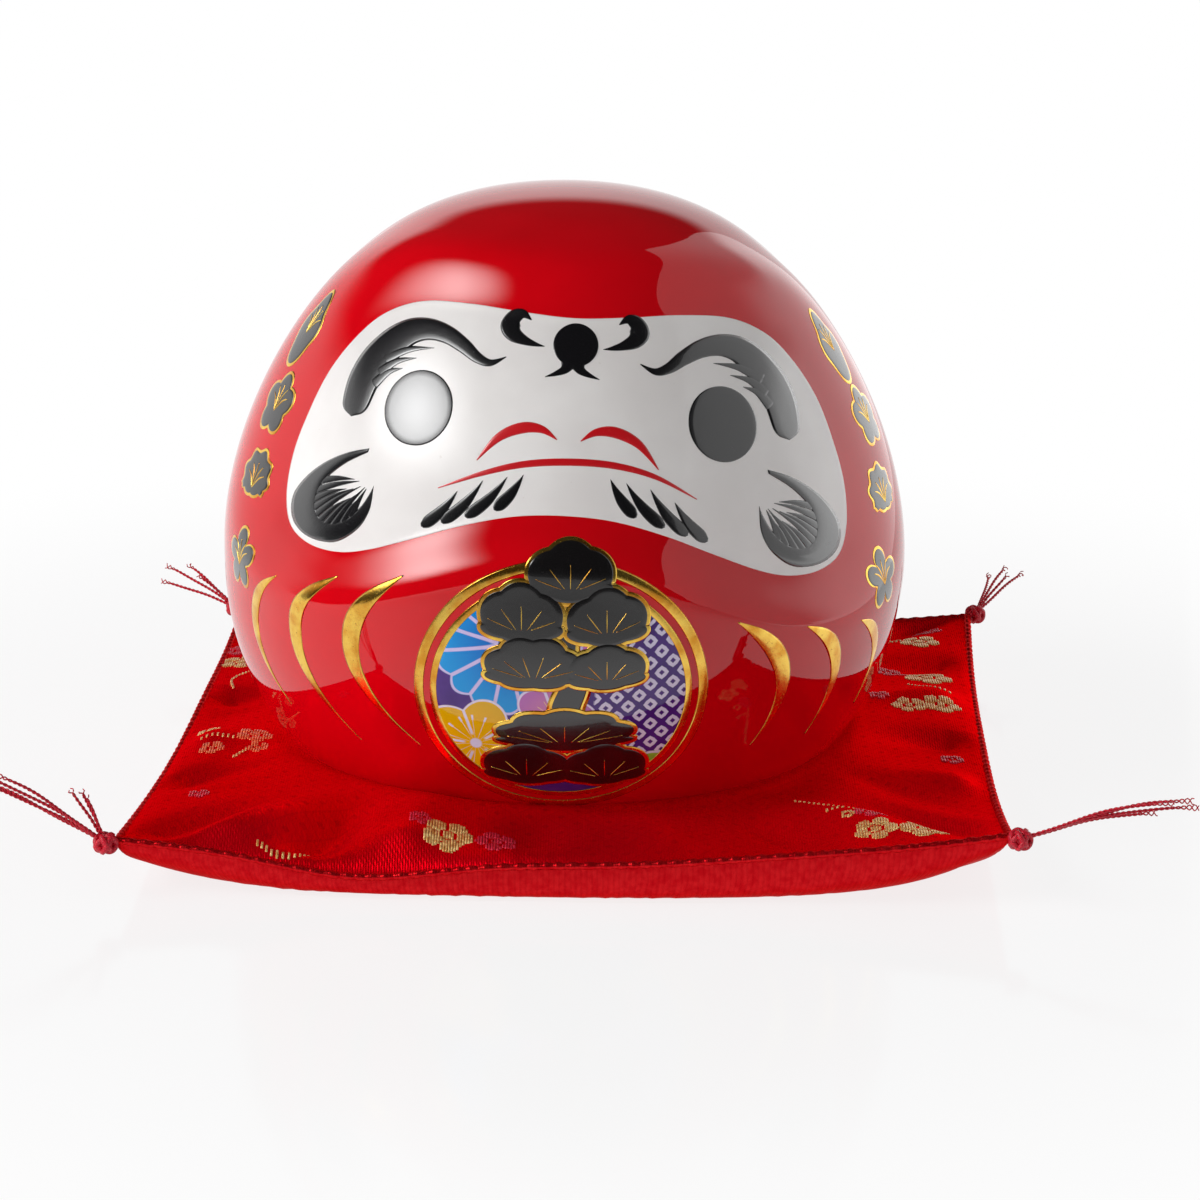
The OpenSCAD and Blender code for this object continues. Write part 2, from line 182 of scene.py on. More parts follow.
def closedForm(points, poleStart=None, poleEnd=None, wrapRows=False):
    # rows of rings, closed by a point at either end, or by joining the last row to the first
    rows, cols = points.shape[:2]
    verts = points.reshape(-1, 3)
    quads = gridFaces(rows, cols, wrapRows)
    tris = np.zeros((0, 3), int)
    j = np.arange(cols)
    if poleStart is not None:
        tris = np.vstack([tris, np.stack([np.full(cols, len(verts)), (j + 1) % cols, j], -1)])
        verts = np.vstack([verts, poleStart])
    if poleEnd is not None:
        last = (rows - 1) * cols
        tris = np.vstack([tris, np.stack([np.full(cols, len(verts)), last + j, last + (j + 1) % cols], -1)])
        verts = np.vstack([verts, poleEnd])
    return turnedOut(verts, quads, tris)


def joined(forms):
    verts, quads, tris, n = [], [], [], 0
    for v, q, t in forms:
        verts.append(v)
        quads.append(q + n)
        tris.append(t + n)
        n += len(v)
    return np.vstack(verts), np.vstack(quads), np.vstack(tris)


def makePiece(name, form, materials, body, replaces=(), uv=None, faceMaterial=None):
    verts, quads, tris = form
    mesh = bpy.data.meshes.new(name)
    loops = np.concatenate([quads.ravel(), tris.ravel()])
    sizes = np.concatenate([np.full(len(quads), 4), np.full(len(tris), 3)])
    starts = np.concatenate([[0], np.cumsum(sizes)[:-1]])
    mesh.vertices.add(len(verts))
    mesh.vertices.foreach_set("co", (verts * mm).astype(np.float32).ravel())
    mesh.loops.add(len(loops))
    mesh.loops.foreach_set("vertex_index", loops.astype(np.int32))
    mesh.polygons.add(len(sizes))
    mesh.polygons.foreach_set("loop_start", starts.astype(np.int32))
    mesh.polygons.foreach_set("use_smooth", np.ones(len(sizes), bool))
    for material in materials:
        mesh.materials.append(material)
    if faceMaterial is not None:
        mesh.polygons.foreach_set("material_index", faceMaterial.astype(np.int32))
    if uv is not None:
        layer = mesh.uv_layers.new(name="pattern")
        layer.data.foreach_set("uv", uv[loops].astype(np.float32).ravel())
    mesh.update(calc_edges=True)
    piece = bpy.data.objects.new(name, mesh)
    bpy.context.scene.collection.objects.link(piece)
    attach(piece, body)
    if replaces:
        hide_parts(*replaces)
    return piece


def curveThrough(points, steps, closed=False):
    # Catmull-Rom curve: each span is a cubic through its two ends, aimed along their neighbours
    p = np.asarray(points, float)
    p = np.vstack([p[-1:], p, p[:2]]) if closed else np.vstack([p[:1], p, p[-1:]])
    t = (np.arange(steps) / steps)[None, :, None]
    a, b, c, d = (p[k:len(p) - 3 + k, None, :] for k in range(4))
    out = 0.5 * (2 * b + (c - a) * t + (2 * a - 5 * b + 4 * c - d) * t**2 + (3 * b - a - 3 * c + d) * t**3)
    out = out.reshape(-1, p.shape[1])
    return out if closed else np.vstack([out, p[-1:]])


shellLow, shellHigh = (np.array(corner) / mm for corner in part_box("body_shell"))
doll = {
    "radius": round((shellHigh[0] - shellLow[0]) / 2),
    "base": round(shellLow[2], 1),
    "height": round(shellHigh[2] - shellLow[2], 1),
    "girth": 32.6,                           # height of the widest ring above the base
    "bellyArc": 49.0,
    "footRound": 7.0,
    "wall": 4.5,
    "lean": 0.32, "blunt": 0.25, "swell": 0.22,
    "bore": 11.0, "flange": 14.0, "flangeDepth": 1.5,
}


def dollSection(d, n=600):
    # Outer section from crown to foot. Crown: r = R cos s (1 - lean sin^2 s + blunt sin^4 s) and
    # z = girth + H sin s (1 + swell cos^2 s); belly: an arc below the girth; foot: a rounding onto the base.
    s = np.radians(np.linspace(90, 0, n))
    rise = d["height"] - d["girth"]
    r1 = d["radius"] * np.cos(s) * (1 - d["lean"] * np.sin(s)**2 + d["blunt"] * np.sin(s)**4)
    z1 = d["girth"] + rise * np.sin(s) * (1 + d["swell"] * np.cos(s)**2)
    arc, foot = d["bellyArc"], d["footRound"]
    drop = d["girth"] - foot
    footX = d["radius"] - arc + math.sqrt((arc - foot)**2 - drop**2)
    end = math.atan2(drop, footX - d["radius"] + arc)
    a = np.linspace(0, end, n // 2)[1:]
    b = np.linspace(end, math.pi / 2, n // 6)[1:]
    r2, z2 = d["radius"] - arc + arc * np.cos(a), d["girth"] - arc * np.sin(a)
    r3, z3 = footX + foot * np.cos(b), foot - foot * np.sin(b)
    return np.stack([np.concatenate([r1, r2, r3]), np.concatenate([z1, z2, z3])], -1)


def evenly(rz, spacing):
    # points of a section at equal steps along its length
    s = np.concatenate([[0], np.cumsum(np.linalg.norm(np.diff(rz, axis=0), axis=1))])
    t = np.linspace(0, s[-1], int(s[-1] / spacing) + 1)
    return np.stack([np.interp(t, s, rz[:, 0]), np.interp(t, s, rz[:, 1])], -1)


def sectionNormals(rz):
    t = np.gradient(rz, axis=0)
    n = np.stack([-t[:, 1], t[:, 0]], -1)
    return n / np.linalg.norm(n, axis=1, keepdims=True)


def sectionTable(rz):
    n = sectionNormals(rz)
    order = np.argsort(rz[:, 1])
    return rz[order, 1], rz[order, 0], n[order]


outerRZ = dollSection(doll)
outerTable = sectionTable(outerRZ)
innerTable = sectionTable(outerRZ - doll["wall"] * sectionNormals(outerRZ))


def normalsAt(p, table):
    heights, _, normals = table
    z = p[..., 2] - doll["base"]
    nr, nz = np.interp(z, heights, normals[:, 0]), np.interp(z, heights, normals[:, 1])
    flat = p[..., :2] / np.maximum(np.hypot(p[..., 0], p[..., 1]), 1e-6)[..., None]
    return np.concatenate([flat * nr[..., None], nz[..., None]], -1)


def stencil(azimuth, height, tilt=0.0, turn=0.0, shift=0.0, reach=0.0, start=0.0):
    # a flat drawing plane: its origin lies reach out from the doll's axis; azimuth 0 is the front, -Y
    a, t = math.radians(azimuth), math.radians(tilt)
    right = np.array([math.cos(a), math.sin(a), 0])
    out = np.array([math.sin(a) * math.cos(t), -math.cos(a) * math.cos(t), math.sin(t)])
    origin = np.array([reach * math.sin(a), -reach * math.cos(a), doll["base"] + height])
    return {"origin": origin, "right": right, "up": np.cross(out, right), "out": out,
            "turn": math.radians(turn), "shift": shift, "start": start}


def fromPlane(s, points):
    p = points - s["origin"]
    u, v = p @ s["right"] - s["shift"], p @ s["up"]
    c, k = math.cos(s["turn"]), math.sin(s["turn"])
    return np.stack([u * c - v * k, u * k + v * c], -1)


def onSurface(s, uv, table=outerTable):
    # Sends drawing points straight out of the plane until they meet the doll: the span is halved in on
    # until the point's radius equals the section's radius at its height.
    heights, radii, _ = table
    c, k = math.cos(s["turn"]), math.sin(s["turn"])
    u, v = uv[..., 0] * c + uv[..., 1] * k + s["shift"], -uv[..., 0] * k + uv[..., 1] * c
    start = s["origin"] + u[..., None] * s["right"] + v[..., None] * s["up"]
    near, far = np.full(u.shape, float(s["start"])), np.full(u.shape, 80.0)
    for _ in range(34):
        mid = (near + far) / 2
        p = start + mid[..., None] * s["out"]
        z = p[..., 2] - doll["base"]
        inside = (np.hypot(p[..., 0], p[..., 1]) < np.interp(z, heights, radii)) & (z < heights[-1]) & (z > 0)
        near, far = np.where(inside, mid, near), np.where(inside, far, mid)
    p = start + near[..., None] * s["out"]
    return p, normalsAt(p, table)


face = {
    "stencil": stencil(0, 54, tilt=15, turn=3, shift=1.5),
    "centre": np.array([0.0, -2.0]),
    "half": [(0, 18.5), (9, 19.2), (18, 20.4), (26.5, 20.8), (33, 18.8), (38, 14.6), (42.5, 8.5), (45.8, 1),
             (48, -6), (48.7, -13), (47.5, -18.3), (43.8, -21.4), (38.5, -22.6), (33, -22), (25.5, -19.9),
             (17, -17.3), (8.3, -15.4), (0, -14.9)],
    "depth": 2.7,
    "slope": (8.2, -1.8),      # the hollow starts and ends at these distances from the paint's edge
    "lip": (0.5, 8.8, 3.2),    # height, place and width of the raised rim
}


def mirroredOutline(half, steps):
    pts = np.array(half, float)
    return curveThrough(np.vstack([pts, (pts[1:-1] * [-1, 1])[::-1]]), steps, closed=True)


faceLine = mirroredOutline(face["half"], 8)


def faceDistance(uv):
    # distance from the face's outline, positive outside it
    flat = uv.reshape(-1, 2)
    a, b = faceLine, np.roll(faceLine, -1, 0)
    ab = b - a
    out = np.empty(len(flat))
    for i in range(0, len(flat), 4000):
        p = flat[i:i + 4000, None, :]
        t = np.clip(((p - a) * ab).sum(-1) / (ab * ab).sum(-1), 0, 1)
        out[i:i + 4000] = np.linalg.norm(p - a - t[..., None] * ab, axis=-1).min(1)
    c, e = flat - face["centre"], faceLine - face["centre"]
    angle = np.arctan2(e[:, 1], e[:, 0])
    order = np.argsort(angle)
    edge = np.interp(np.arctan2(c[:, 1], c[:, 0]), angle[order], np.hypot(e[:, 0], e[:, 1])[order],
                     period=2 * math.pi)
    return (out * np.where(np.hypot(c[:, 0], c[:, 1]) > edge, 1, -1)).reshape(uv.shape[:-1])


def faceRelief(q):
    # height of the moulded face against the robe: a smooth step down at the paint's edge, and a raised lip
    start, end = face["slope"]
    height, place, width = face["lip"]
    return height * np.exp(-((q - place) / width)**2) - face["depth"] * smooth01((start - q) / (start - end))


def reliefAt(p):
    # the moulded face's height at points of the plain doll; nothing at the back or far from the face
    uv = fromPlane(face["stencil"], p)
    near = (p[..., 1] < 0) & (np.abs(uv[..., 0]) < 68) & (np.abs(uv[..., 1]) < 46)
    rise = np.zeros(near.shape)
    rise[near] = faceRelief(faceDistance(uv[near]))
    return rise


def facePoint(uv, lift):
    p, n = onSurface(face["stencil"], uv)
    return p + n * (faceRelief(faceDistance(uv)) + lift)[..., None]


glaze = {"face": 0.12, "ink": 0.07, "badge": 0.05}   # how far each layer of colour stands up
medal = {"stencil": stencil(0, 23.5, tilt=-12, reach=doll["radius"], start=-30.0),
         "width": 47.6, "tall": 45.0, "bands": ((0.0, 1.6), (2.6, 1.15))}


def inkPoint(uv, lift):
    return facePoint(uv, lift + glaze["face"])


def medalPoint(uv, lift):
    p, n = onSurface(medal["stencil"], uv)
    return p + n * (reliefAt(p) + lift)[..., None]


def wrapPoint(uv, lift):
    # u runs round the doll in millimetres of a 55 mm circle from the front, v is the height above the table
    a = uv[..., 0] / 55
    heights, radii, _ = outerTable
    r = np.interp(uv[..., 1] - doll["base"], heights, radii)
    p = np.stack([r * np.sin(a), -r * np.cos(a), uv[..., 1]], -1)
    return p + normalsAt(p, outerTable) * (reliefAt(p) + lift)[..., None]


def strokeForm(line, halfWidths, place, lift, steps=8):
    # brush stroke: a low rounded section carried along the curve, its width given at each point
    pts = curveThrough(np.column_stack([line, halfWidths]), steps)
    centre, half = pts[:, :2], np.maximum(pts[:, 2], 0.03)
    tangent = np.gradient(centre, axis=0)
    tangent /= np.linalg.norm(tangent, axis=1, keepdims=True)
    side = np.stack([-tangent[:, 1], tangent[:, 0]], -1)
    across = np.array([-1, -0.8, -0.35, 0.35, 0.8, 1, 0.8, -0.8])
    rise = np.array([0, 0.75, 1, 1, 0.75, 0, -1.2, -1.2]) * lift
    uv = centre[:, None] + side[:, None] * (across * half[:, None])[..., None]
    points = place(uv, np.broadcast_to(rise, uv.shape[:2]))
    tips = np.array([centre[0] - tangent[0] * half[0] * 0.5, centre[-1] + tangent[-1] * half[-1] * 0.5])
    ends = place(tips, np.zeros(2))
    return closedForm(points, ends[0], ends[1])


def blobForm(outline, centre, place, lift, rings=(0.82, 0.6, 0.36, 0.16)):
    # a thin pad of colour: the outline shrunk ring by ring to its centre, closed underneath
    scale = np.array([0.5, 0.97, 1, 0.99, 0.965, *rings])
    rise = np.array([-1.2, -1.2, 0, 0.7, 1, *[1] * len(rings)]) * lift
    uv = centre + (outline - centre) * scale[:, None, None]
    poles = place(np.array([centre, centre], float), np.array([-1.2, 1]) * lift)
    return closedForm(place(uv, np.broadcast_to(rise[:, None], uv.shape[:2])), poles[0], poles[1])


def mirrored(line):
    return np.array(line, float) * [-1, 1]


def oval(width, tall, n=64, lean=0.0, at=(0, 0)):
    t = np.arange(n) / n * 2 * math.pi
    c, s = math.cos(lean), math.sin(lean)
    x, y = width / 2 * np.cos(t), tall / 2 * np.sin(t)
    return np.stack([x * c - y * s, x * s + y * c], -1) + at


def orangePeel(wire, shader, strength, distance, scale=0.09):
    # the faint unevenness of a fired glaze
    place = objectPlace(wire)
    height = noise(wire, place, scale, 1.5) + noise(wire, place, scale * 9, 1.0) * 0.06
    bumped(wire, shader, height, strength, distance)


glazes = {
    # refraction and roughness of the clear coat, scale of the clouding and its two colours, then the specks'
    # scale, threshold, strength and colour, the roughness (change, least) and the unevenness (strength, size)
    "robeGlaze": (1.55, 0.02, 0.035, (srgb(198, 0, 12), srgb(212, 0, 16)),
                  (1.6, 0.72, 0.35, srgb(150, 0, 8)), (0.08, 0.28), (0.12, 0.5)),
    "whiteGlaze": (1.5, 0.025, 0.06, (srgb(232, 228, 226), srgb(240, 237, 235)),
                   (1.1, 0.74, 0.2, srgb(170, 150, 130)), (0.06, 0.27), (0.1, 0.5)),
}


def makeGlaze(name):
    coat, gloss, cloudScale, colours, specks, rough, peel = glazes[name]
    material, wire, shader = startMaterial(name, {
        "Specular IOR Level": 0.0, "Coat Weight": 1.0, "Coat Roughness": gloss, "Coat IOR": coat
    })
    place = objectPlace(wire)
    cloud = noise(wire, place, cloudScale, 3.0).fade(0.3, 0.7)
    speckScale, threshold, strength, speckColour = specks
    speck = noise(wire, place, speckScale, 2.0, 0.6).fade(threshold, 0.8)
    plug((speck * strength).paint(cloud.paint(*colours), speckColour), shader, "Base Color")
    plug(cloud * rough[0] + rough[1], shader, "Roughness")
    orangePeel(wire, shader, *peel)
    return material


def makeInk(name, dark, worn, roughness, coat=0.6, wear=0.62):
    # screen-printed enamel: dense, with a little of the ground showing where it is thin
    material, wire, shader = startMaterial(name, {
        "Specular IOR Level": 0.7, "Coat Weight": coat, "Coat Roughness": 0.05, "Coat IOR": 1.55
    })
    place = objectPlace(wire)
    thin = noise(wire, place, 0.9, 3.0, 0.6).fade(wear, wear + 0.2)
    plug((thin * 0.5).paint(dark, worn), shader, "Base Color")
    plug(thin * 0.15 + roughness, shader, "Roughness")
    bumped(wire, shader, noise(wire, place, 0.8, 2.0), 0.08, 0.2)
    return material


def makeGold():
    material, wire, shader = startMaterial("goldLustre", {
        "Metallic": 1.0, "Coat Weight": 0.3, "Coat Roughness": 0.1
    })
    place = objectPlace(wire)
    burnt = noise(wire, place, 0.25, 3.0).fade(0.35, 0.7)
    thin = noise(wire, place, 2.2, 2.0, 0.6).fade(0.62, 0.74)
    colour = burnt.paint(srgb(250, 208, 92), srgb(222, 150, 40))
    plug((thin * 0.6).paint(colour, srgb(176, 98, 30)), shader, "Base Color")
    plug(thin * 0.2 + 0.22, shader, "Roughness")
    bumped(wire, shader, noise(wire, place, 1.3, 2.0), 0.1, 0.2)
    return material


badge = {
    "mum": {"at": (-8.6, 9.0), "radius": 12.2, "petals": 16},
    "yellowPlum": {"at": (-13.8, -9.2), "radius": 8.8},
    "mauvePlum": {"at": (-1.0, -3.4), "radius": 6.8},
    "mauveTop": {"at": (5.5, 10.5), "radius": 4.6},
    "green": {"at": (15.2, -15.8), "radius": 5.0},
    "kanoko": {"pitch": 2.55, "left": 5.2, "low": -15.0},
}


def makeBadge():
    # Flowers in polar distance: a petal's edge is the radius times a wave of the angle, its outline the band
    # next to that edge or next to the angle where two petals meet. Kanoko is a slanted grid of small squares.
    material, wire, shader = startMaterial("badgeEnamel", {
        "Roughness": 0.3, "Specular IOR Level": 0.0,
        "Coat Weight": 1.0, "Coat Roughness": 0.03, "Coat IOR": 1.5
    })
    u, v, _ = wire.put("ShaderNodeUVMap", {"uv_map": "pattern"}).parts()
    u, v = u * 50.0 - 25.0, v * 50.0 - 25.0
    ground, pale, lilac = srgb(66, 30, 118), srgb(222, 214, 240), srgb(206, 190, 232)
    grain = noise(wire, objectPlace(wire), 0.25, 3.0).fade(0.3, 0.7)
    colour = grain.paint(ground, srgb(78, 40, 130))

    def polar(at):
        x, y = u - at[0], v - at[1]
        return (x * x + y * y).root(), y.angle(x)

    def flower(colour, spec, petals, depth, fill, edge, line):
        r, a = polar(spec["at"])
        wave = (a * (petals / 2)).cos().abs()
        q = r - (wave * depth + (1 - depth)) * spec["radius"]
        gap = ((a * (petals / 2)).cos().abs() * r * (2 / petals)).fade(line, line * 0.55) * r.fade(1.5, 2.2)
        inside = q.fade(0.12, -0.12)
        shade = (r * (1 / spec["radius"])).fade(0.1, 1.0)
        colour = inside.paint(colour, shade.paint(fill[0], fill[1]))
        band = inside * q.fade(-line * 1.5, -line)
        return (inside * gap).high(band).paint(colour, edge), r, a

    k = badge["kanoko"]
    s, t = (u + v) * (0.7071 / k["pitch"]), (u - v) * (0.7071 / k["pitch"])
    x, y = (s.wrap(1.0) - 0.5).abs(), (t.wrap(1.0) - 0.5).abs()
    box = x.high(y)
    cell = (box + (x * y) * 0.5).fade(0.4, 0.35) * box.fade(0.1, 0.16)
    zone = (u - v * 0.12).fade(k["left"], k["left"] + 0.5) * v.fade(k["low"], k["low"] + 0.5)
    colour = (zone * cell).paint(colour, pale)

    green, _, _ = flower(colour, badge["green"], 3, 0.15, (srgb(96, 160, 40), srgb(150, 190, 60)), pale, 0.35)
    mauve, _, _ = flower(green, badge["mauveTop"], 5, 0.3,
                         (srgb(205, 120, 190), srgb(178, 96, 176)), pale, 0.3)
    mum, r, _ = flower(mauve, badge["mum"], badge["mum"]["petals"], 0.1,
                       (srgb(0, 104, 196), srgb(8, 150, 222)), lilac, 0.36)
    mum = (r - 1.7).abs().fade(0.4, 0.2).paint(mum, lilac)
    yellow, r, a = flower(mum, badge["yellowPlum"], 5, 0.26,
                          (srgb(236, 176, 8), srgb(222, 172, 6)), pale, 0.3)
    hair = (a * 7.5).sin().abs().fade(0.12, 0.05) * r.fade(5.2, 4.8) * r.fade(0.8, 1.1)
    tips = ((r - 5.0).abs().fade(0.55, 0.35)) * (a * 7.5).sin().abs().fade(0.3, 0.2)
    yellow = hair.high(tips).high(r.fade(1.1, 0.8)).paint(yellow, pale)
    mauve, r, a = flower(yellow, badge["mauvePlum"], 5, 0.26,
                         (srgb(206, 128, 176), srgb(182, 108, 182)), pale, 0.3)
    hair = (a * 7.5).sin().abs().fade(0.14, 0.06) * r.fade(3.6, 3.2) * r.fade(0.6, 0.9)
    mauve = hair.high(r.fade(0.9, 0.6)).paint(mauve, srgb(250, 214, 120))
    plug(mauve, shader, "Base Color")
    orangePeel(wire, shader, 0.1, 0.4)
    return material


robeGlaze = makeGlaze("robeGlaze")
whiteGlaze = makeGlaze("whiteGlaze")
blackInk = makeInk("blackEnamel", srgb(9, 8, 12), srgb(44, 42, 50), 0.24, 1.0, 0.66)
redInk = makeInk("redEnamel", srgb(205, 8, 22), srgb(226, 90, 84), 0.3, 0.8)
charmInk = makeInk("charmEnamel", srgb(12, 9, 10), srgb(46, 36, 24), 0.25, 0.7, 0.7)
goldLustre = makeGold()
badgeEnamel = makeBadge()


shellBuild = {
    "columns": 288,
    "gather": 0.15,          # how much the columns close up at the front and back
    "spacing": 1.15,
    "window": (25, 9.0),     # the slot's surround: sideways and upward reach, in columns and in millimetres
    "slot": (34.0, 5.0, 70.0, 0.9),  # length, opening, height above the base, rounding of its edge
}


def slotEdge(uv, q):
    # nearest point of the slot's outline, moved outwards by q: straight in the middle, round at both ends
    length, opening = shellBuild["slot"][:2]
    half = (length - opening) / 2
    middle = np.stack([np.clip(uv[:, 0] * 0.93, -half, half), 0 * uv[:, 0]], -1)
    away = uv - middle
    return middle + away / np.linalg.norm(away, axis=1, keepdims=True) * (opening / 2 + q)


def buildShell():
    s, d = shellBuild, doll
    n = s["columns"]
    t = np.arange(n) / n * 2 * math.pi
    azimuth = t - s["gather"] * np.sin(2 * t)
    outer = evenly(outerRZ, s["spacing"])[1:]
    normals = sectionNormals(np.vstack([outerRZ[:1], outer]))[1:]
    inner = outer - d["wall"] * normals
    top = d["wall"] + d["flangeDepth"]
    inner[:, 1] = np.maximum(inner[:, 1], top)
    inner[:, 0] = np.maximum(inner[:, 0], d["bore"] + 1)
    base = np.array([
        (outer[-1, 0] * 0.85, 0), (outer[-1, 0] * 0.65, 0), (d["flange"] + 0.5, 0), (d["flange"] + 0.1, 0.1),
        (d["flange"], 0.5), (d["flange"], 1.3), (d["flange"] - 0.2, 1.5), (d["bore"] + 0.4, 1.5),
        (d["bore"], 1.9), (d["bore"], top - 0.5), (d["bore"] + 0.5, top)
    ])
    rz = np.vstack([outer, base, inner[::-1]])
    m, total = len(outer), len(rz)
    r, z = rz[:, 0, None], rz[:, 1, None] + d["base"]
    grid = np.stack([r * np.sin(azimuth), -r * np.cos(azimuth), z + 0 * azimuth], -1)

    rise = reliefAt(grid[:m])
    nr = np.concatenate([normals[:, :1], normals[:, :1], normals[:, 1:]], 1)[:, None, :]
    turn = np.stack([np.sin(azimuth), -np.cos(azimuth), np.ones(n)], -1)[None]
    grid[:m] += nr * turn * rise[..., None]

    # a window of cells at the back is dropped, outside and inside, and rings lead through the slot
    half, reach = s["window"]
    height, lip = s["slot"][2:]
    back = stencil(180, height)
    r0 = int(np.argmin(np.abs(outer[:, 1] - height - reach)))
    r1 = int(np.argmin(np.abs(outer[:, 1] - height + reach)))
    c0, c1 = n // 2 - half, n // 2 + half
    row = np.concatenate([
        np.full(c1 - c0, r0), np.arange(r0, r1), np.full(c1 - c0, r1), np.arange(r1, r0, -1)
    ])
    col = np.concatenate([
        np.arange(c0, c1), np.full(r1 - r0, c1), np.arange(c1, c0, -1), np.full(r1 - r0, c0)
    ])
    inRow = total - 1 - row
    edge, edgeIn = fromPlane(back, grid[row, col]), fromPlane(back, grid[inRow, col])
    rings = []
    for w in (0.3, 0.6, 0.85, 1.0):
        rings.append(onSurface(back, edge * (1 - w) + slotEdge(edge, 1.6) * w)[0])
    for a in np.linspace(0, math.pi / 2, 6):
        p, away = onSurface(back, slotEdge(edge, lip * (1 - math.sin(a))))
        rings.append(p - away * lip * (1 - math.cos(a)))
    for w in (0.0, 0.35, 0.7, 1.0):
        spot = slotEdge(edge, 0) * (1 - w**2) + edgeIn * w**2
        rings.append(onSurface(back, spot, innerTable)[0] if w < 1 else None)
    rings = np.array(rings[:-1])
    verts = np.vstack([grid.reshape(-1, 3), rings.reshape(-1, 3)])
    around = len(row)
    index = np.vstack([row * n + col, total * n + np.arange(len(rings) * around).reshape(-1, around),
                       inRow * n + col])
    a, b = index, np.roll(index, -1, axis=1)
    patch = np.stack([a[:-1], b[:-1], b[1:], a[1:]], -1).reshape(-1, 4)
    quads = gridFaces(total, n)
    cell = np.arange(len(quads))
    i, j = cell // n, cell % n
    hole = (j >= c0) & (j < c1) & (((i >= r0) & (i < r1)) | ((i >= total - 1 - r1) & (i < total - 1 - r0)))
    # the patch's faces follow the grid's sense, which runs the other way round the window
    quads = np.vstack([quads[~hole], patch])
    crown = np.array([[0, 0, d["base"] + d["height"]], [0, 0, d["base"] + d["height"] - d["wall"]]])
    k = np.arange(n)
    nv = len(verts)
    last = (total - 1) * n
    tris = np.vstack([np.stack([np.full(n, nv), (k + 1) % n, k], -1),
                      np.stack([np.full(n, nv + 1), last + k, last + (k + 1) % n], -1)])
    return turnedOut(np.vstack([verts, crown]), quads, tris)


makePiece("bodyShell", buildShell(), [robeGlaze], "doll", ["body_shell"])
print("body shell made")


def buildFaceGlaze():
    c = face["centre"]
    scale = np.array([0.3, 0.7, 0.9, 0.99, 1, 1, 0.996, 0.985, 0.97, 0.95, 0.93, 0.905, 0.88, 0.85, 0.81,
                      0.76, 0.7, 0.63, 0.55, 0.46, 0.37, 0.28, 0.19, 0.1])
    rise = np.array([-0.3, -0.3, -0.3, -0.3, -0.05, 0.03, 0.09, *[glaze["face"]] * 17])
    uv = c + (faceLine - c) * scale[:, None, None]
    poles = facePoint(np.array([c, c]), np.array([-0.3, glaze["face"]]))
    return closedForm(facePoint(uv, rise[:, None]), poles[0], poles[1])


makePiece("faceGlaze", buildFaceGlaze(), [whiteGlaze], "doll", ["face_glaze"])

features = {
    "eye": {"at": (25.9, 2.2), "width": 11.8, "tall": 13.0, "lean": 14},
    "brow": {"line": [(37.7, 0.7), (37.5, 1.5), (37.1, 3.0), (36.0, 6.8), (34.1, 10.4), (31.2, 13.5),
                      (28.2, 15.4), (25.0, 15.8), (21.8, 14.9), (18.8, 13.0), (16.3, 11.0), (14.0, 10.2),
                      (11.4, 11.3)],
             "half": [0.4, 1.8, 2.5, 2.9, 2.95, 2.8, 2.4, 1.95, 1.6, 1.3, 0.95, 0.6, 0.08],
             "hairs": [[(32.6, 10.6), (28.4, 12.2), (23.9, 12.5)], [(33.4, 8.2), (30.4, 10.1), (26.9, 10.7)],
                       [(34.2, 6.2), (31.8, 8.2), (29.2, 8.9)]]},
    "nose": {"at": (0.3, 13.9), "size": 7.7},
    "comma": {"line": [(7.5, 17.9), (8.9, 18.8), (10.4, 18.2), (11.0, 16.7), (10.3, 15.3), (8.5, 14.3),
                       (6.6, 13.7), (5.0, 13.4)],
              "half": [0.1, 0.75, 1.35, 1.75, 1.4, 0.85, 0.42, 0.05]},
    "lip": {"line": [(15.3, -6.3), (11.9, -2.4), (8.0, -0.6), (4.6, -0.7), (2.0, -2.3)],
            "half": [0.08, 0.7, 0.95, 0.65, 0.08]},
    "mouth": {"line": [(-21.6, -11.2), (-14, -8.4), (-7, -6.6), (0.6, -5.9), (8, -6.1), (15, -7.6),
                       (22.0, -10.8)],
              "half": [0.08, 0.42, 0.58, 0.62, 0.58, 0.42, 0.08]},
    "hairs": [((11.8, -14.3), (7.3, -8.4)), ((16.6, -15.7), (10.0, -8.9)), ((20.6, -16.8), (14.1, -9.7)),
              ((24.0, -17.6), (18.3, -11.6))],
}


def bothSides(lines, widths, place=inkPoint, lift=0.07, steps=8):
    forms = []
    for line, half in zip(lines, widths):
        forms += [strokeForm(np.array(line, float), half, place, lift, steps),
                  strokeForm(mirrored(line), half, place, lift, steps)]
    return forms


def buildEyes(e):
    pad = oval(e["width"], e["tall"], lean=math.radians(e["lean"]), at=e["at"])
    at = np.array(e["at"])
    return joined([blobForm(pad, at, inkPoint, glaze["ink"]),
                   blobForm(pad * [-1, 1], at * [-1, 1], inkPoint, glaze["ink"])])


def buildBrows(b):
    return joined(bothSides([b["line"], *b["hairs"]], [b["half"], *[[1.1, 0.62, 0.04]] * len(b["hairs"])]))


def buildNose(n, comma):
    x, y = n["at"]
    tail = [(x + 4.3, y - 5.7), (x + 2.6, y - 5.1), (x + 1.1, y - 4.3), (x + 0.4, y - 3.0)]
    forms = bothSides([tail], [[0.06, 0.42, 0.8, 1.5]])
    forms.append(blobForm(oval(n["size"], n["size"] * 0.98, at=n["at"]), np.array(n["at"]), inkPoint, 0.085))
    return joined(forms + bothSides([comma["line"]], [comma["half"]]))


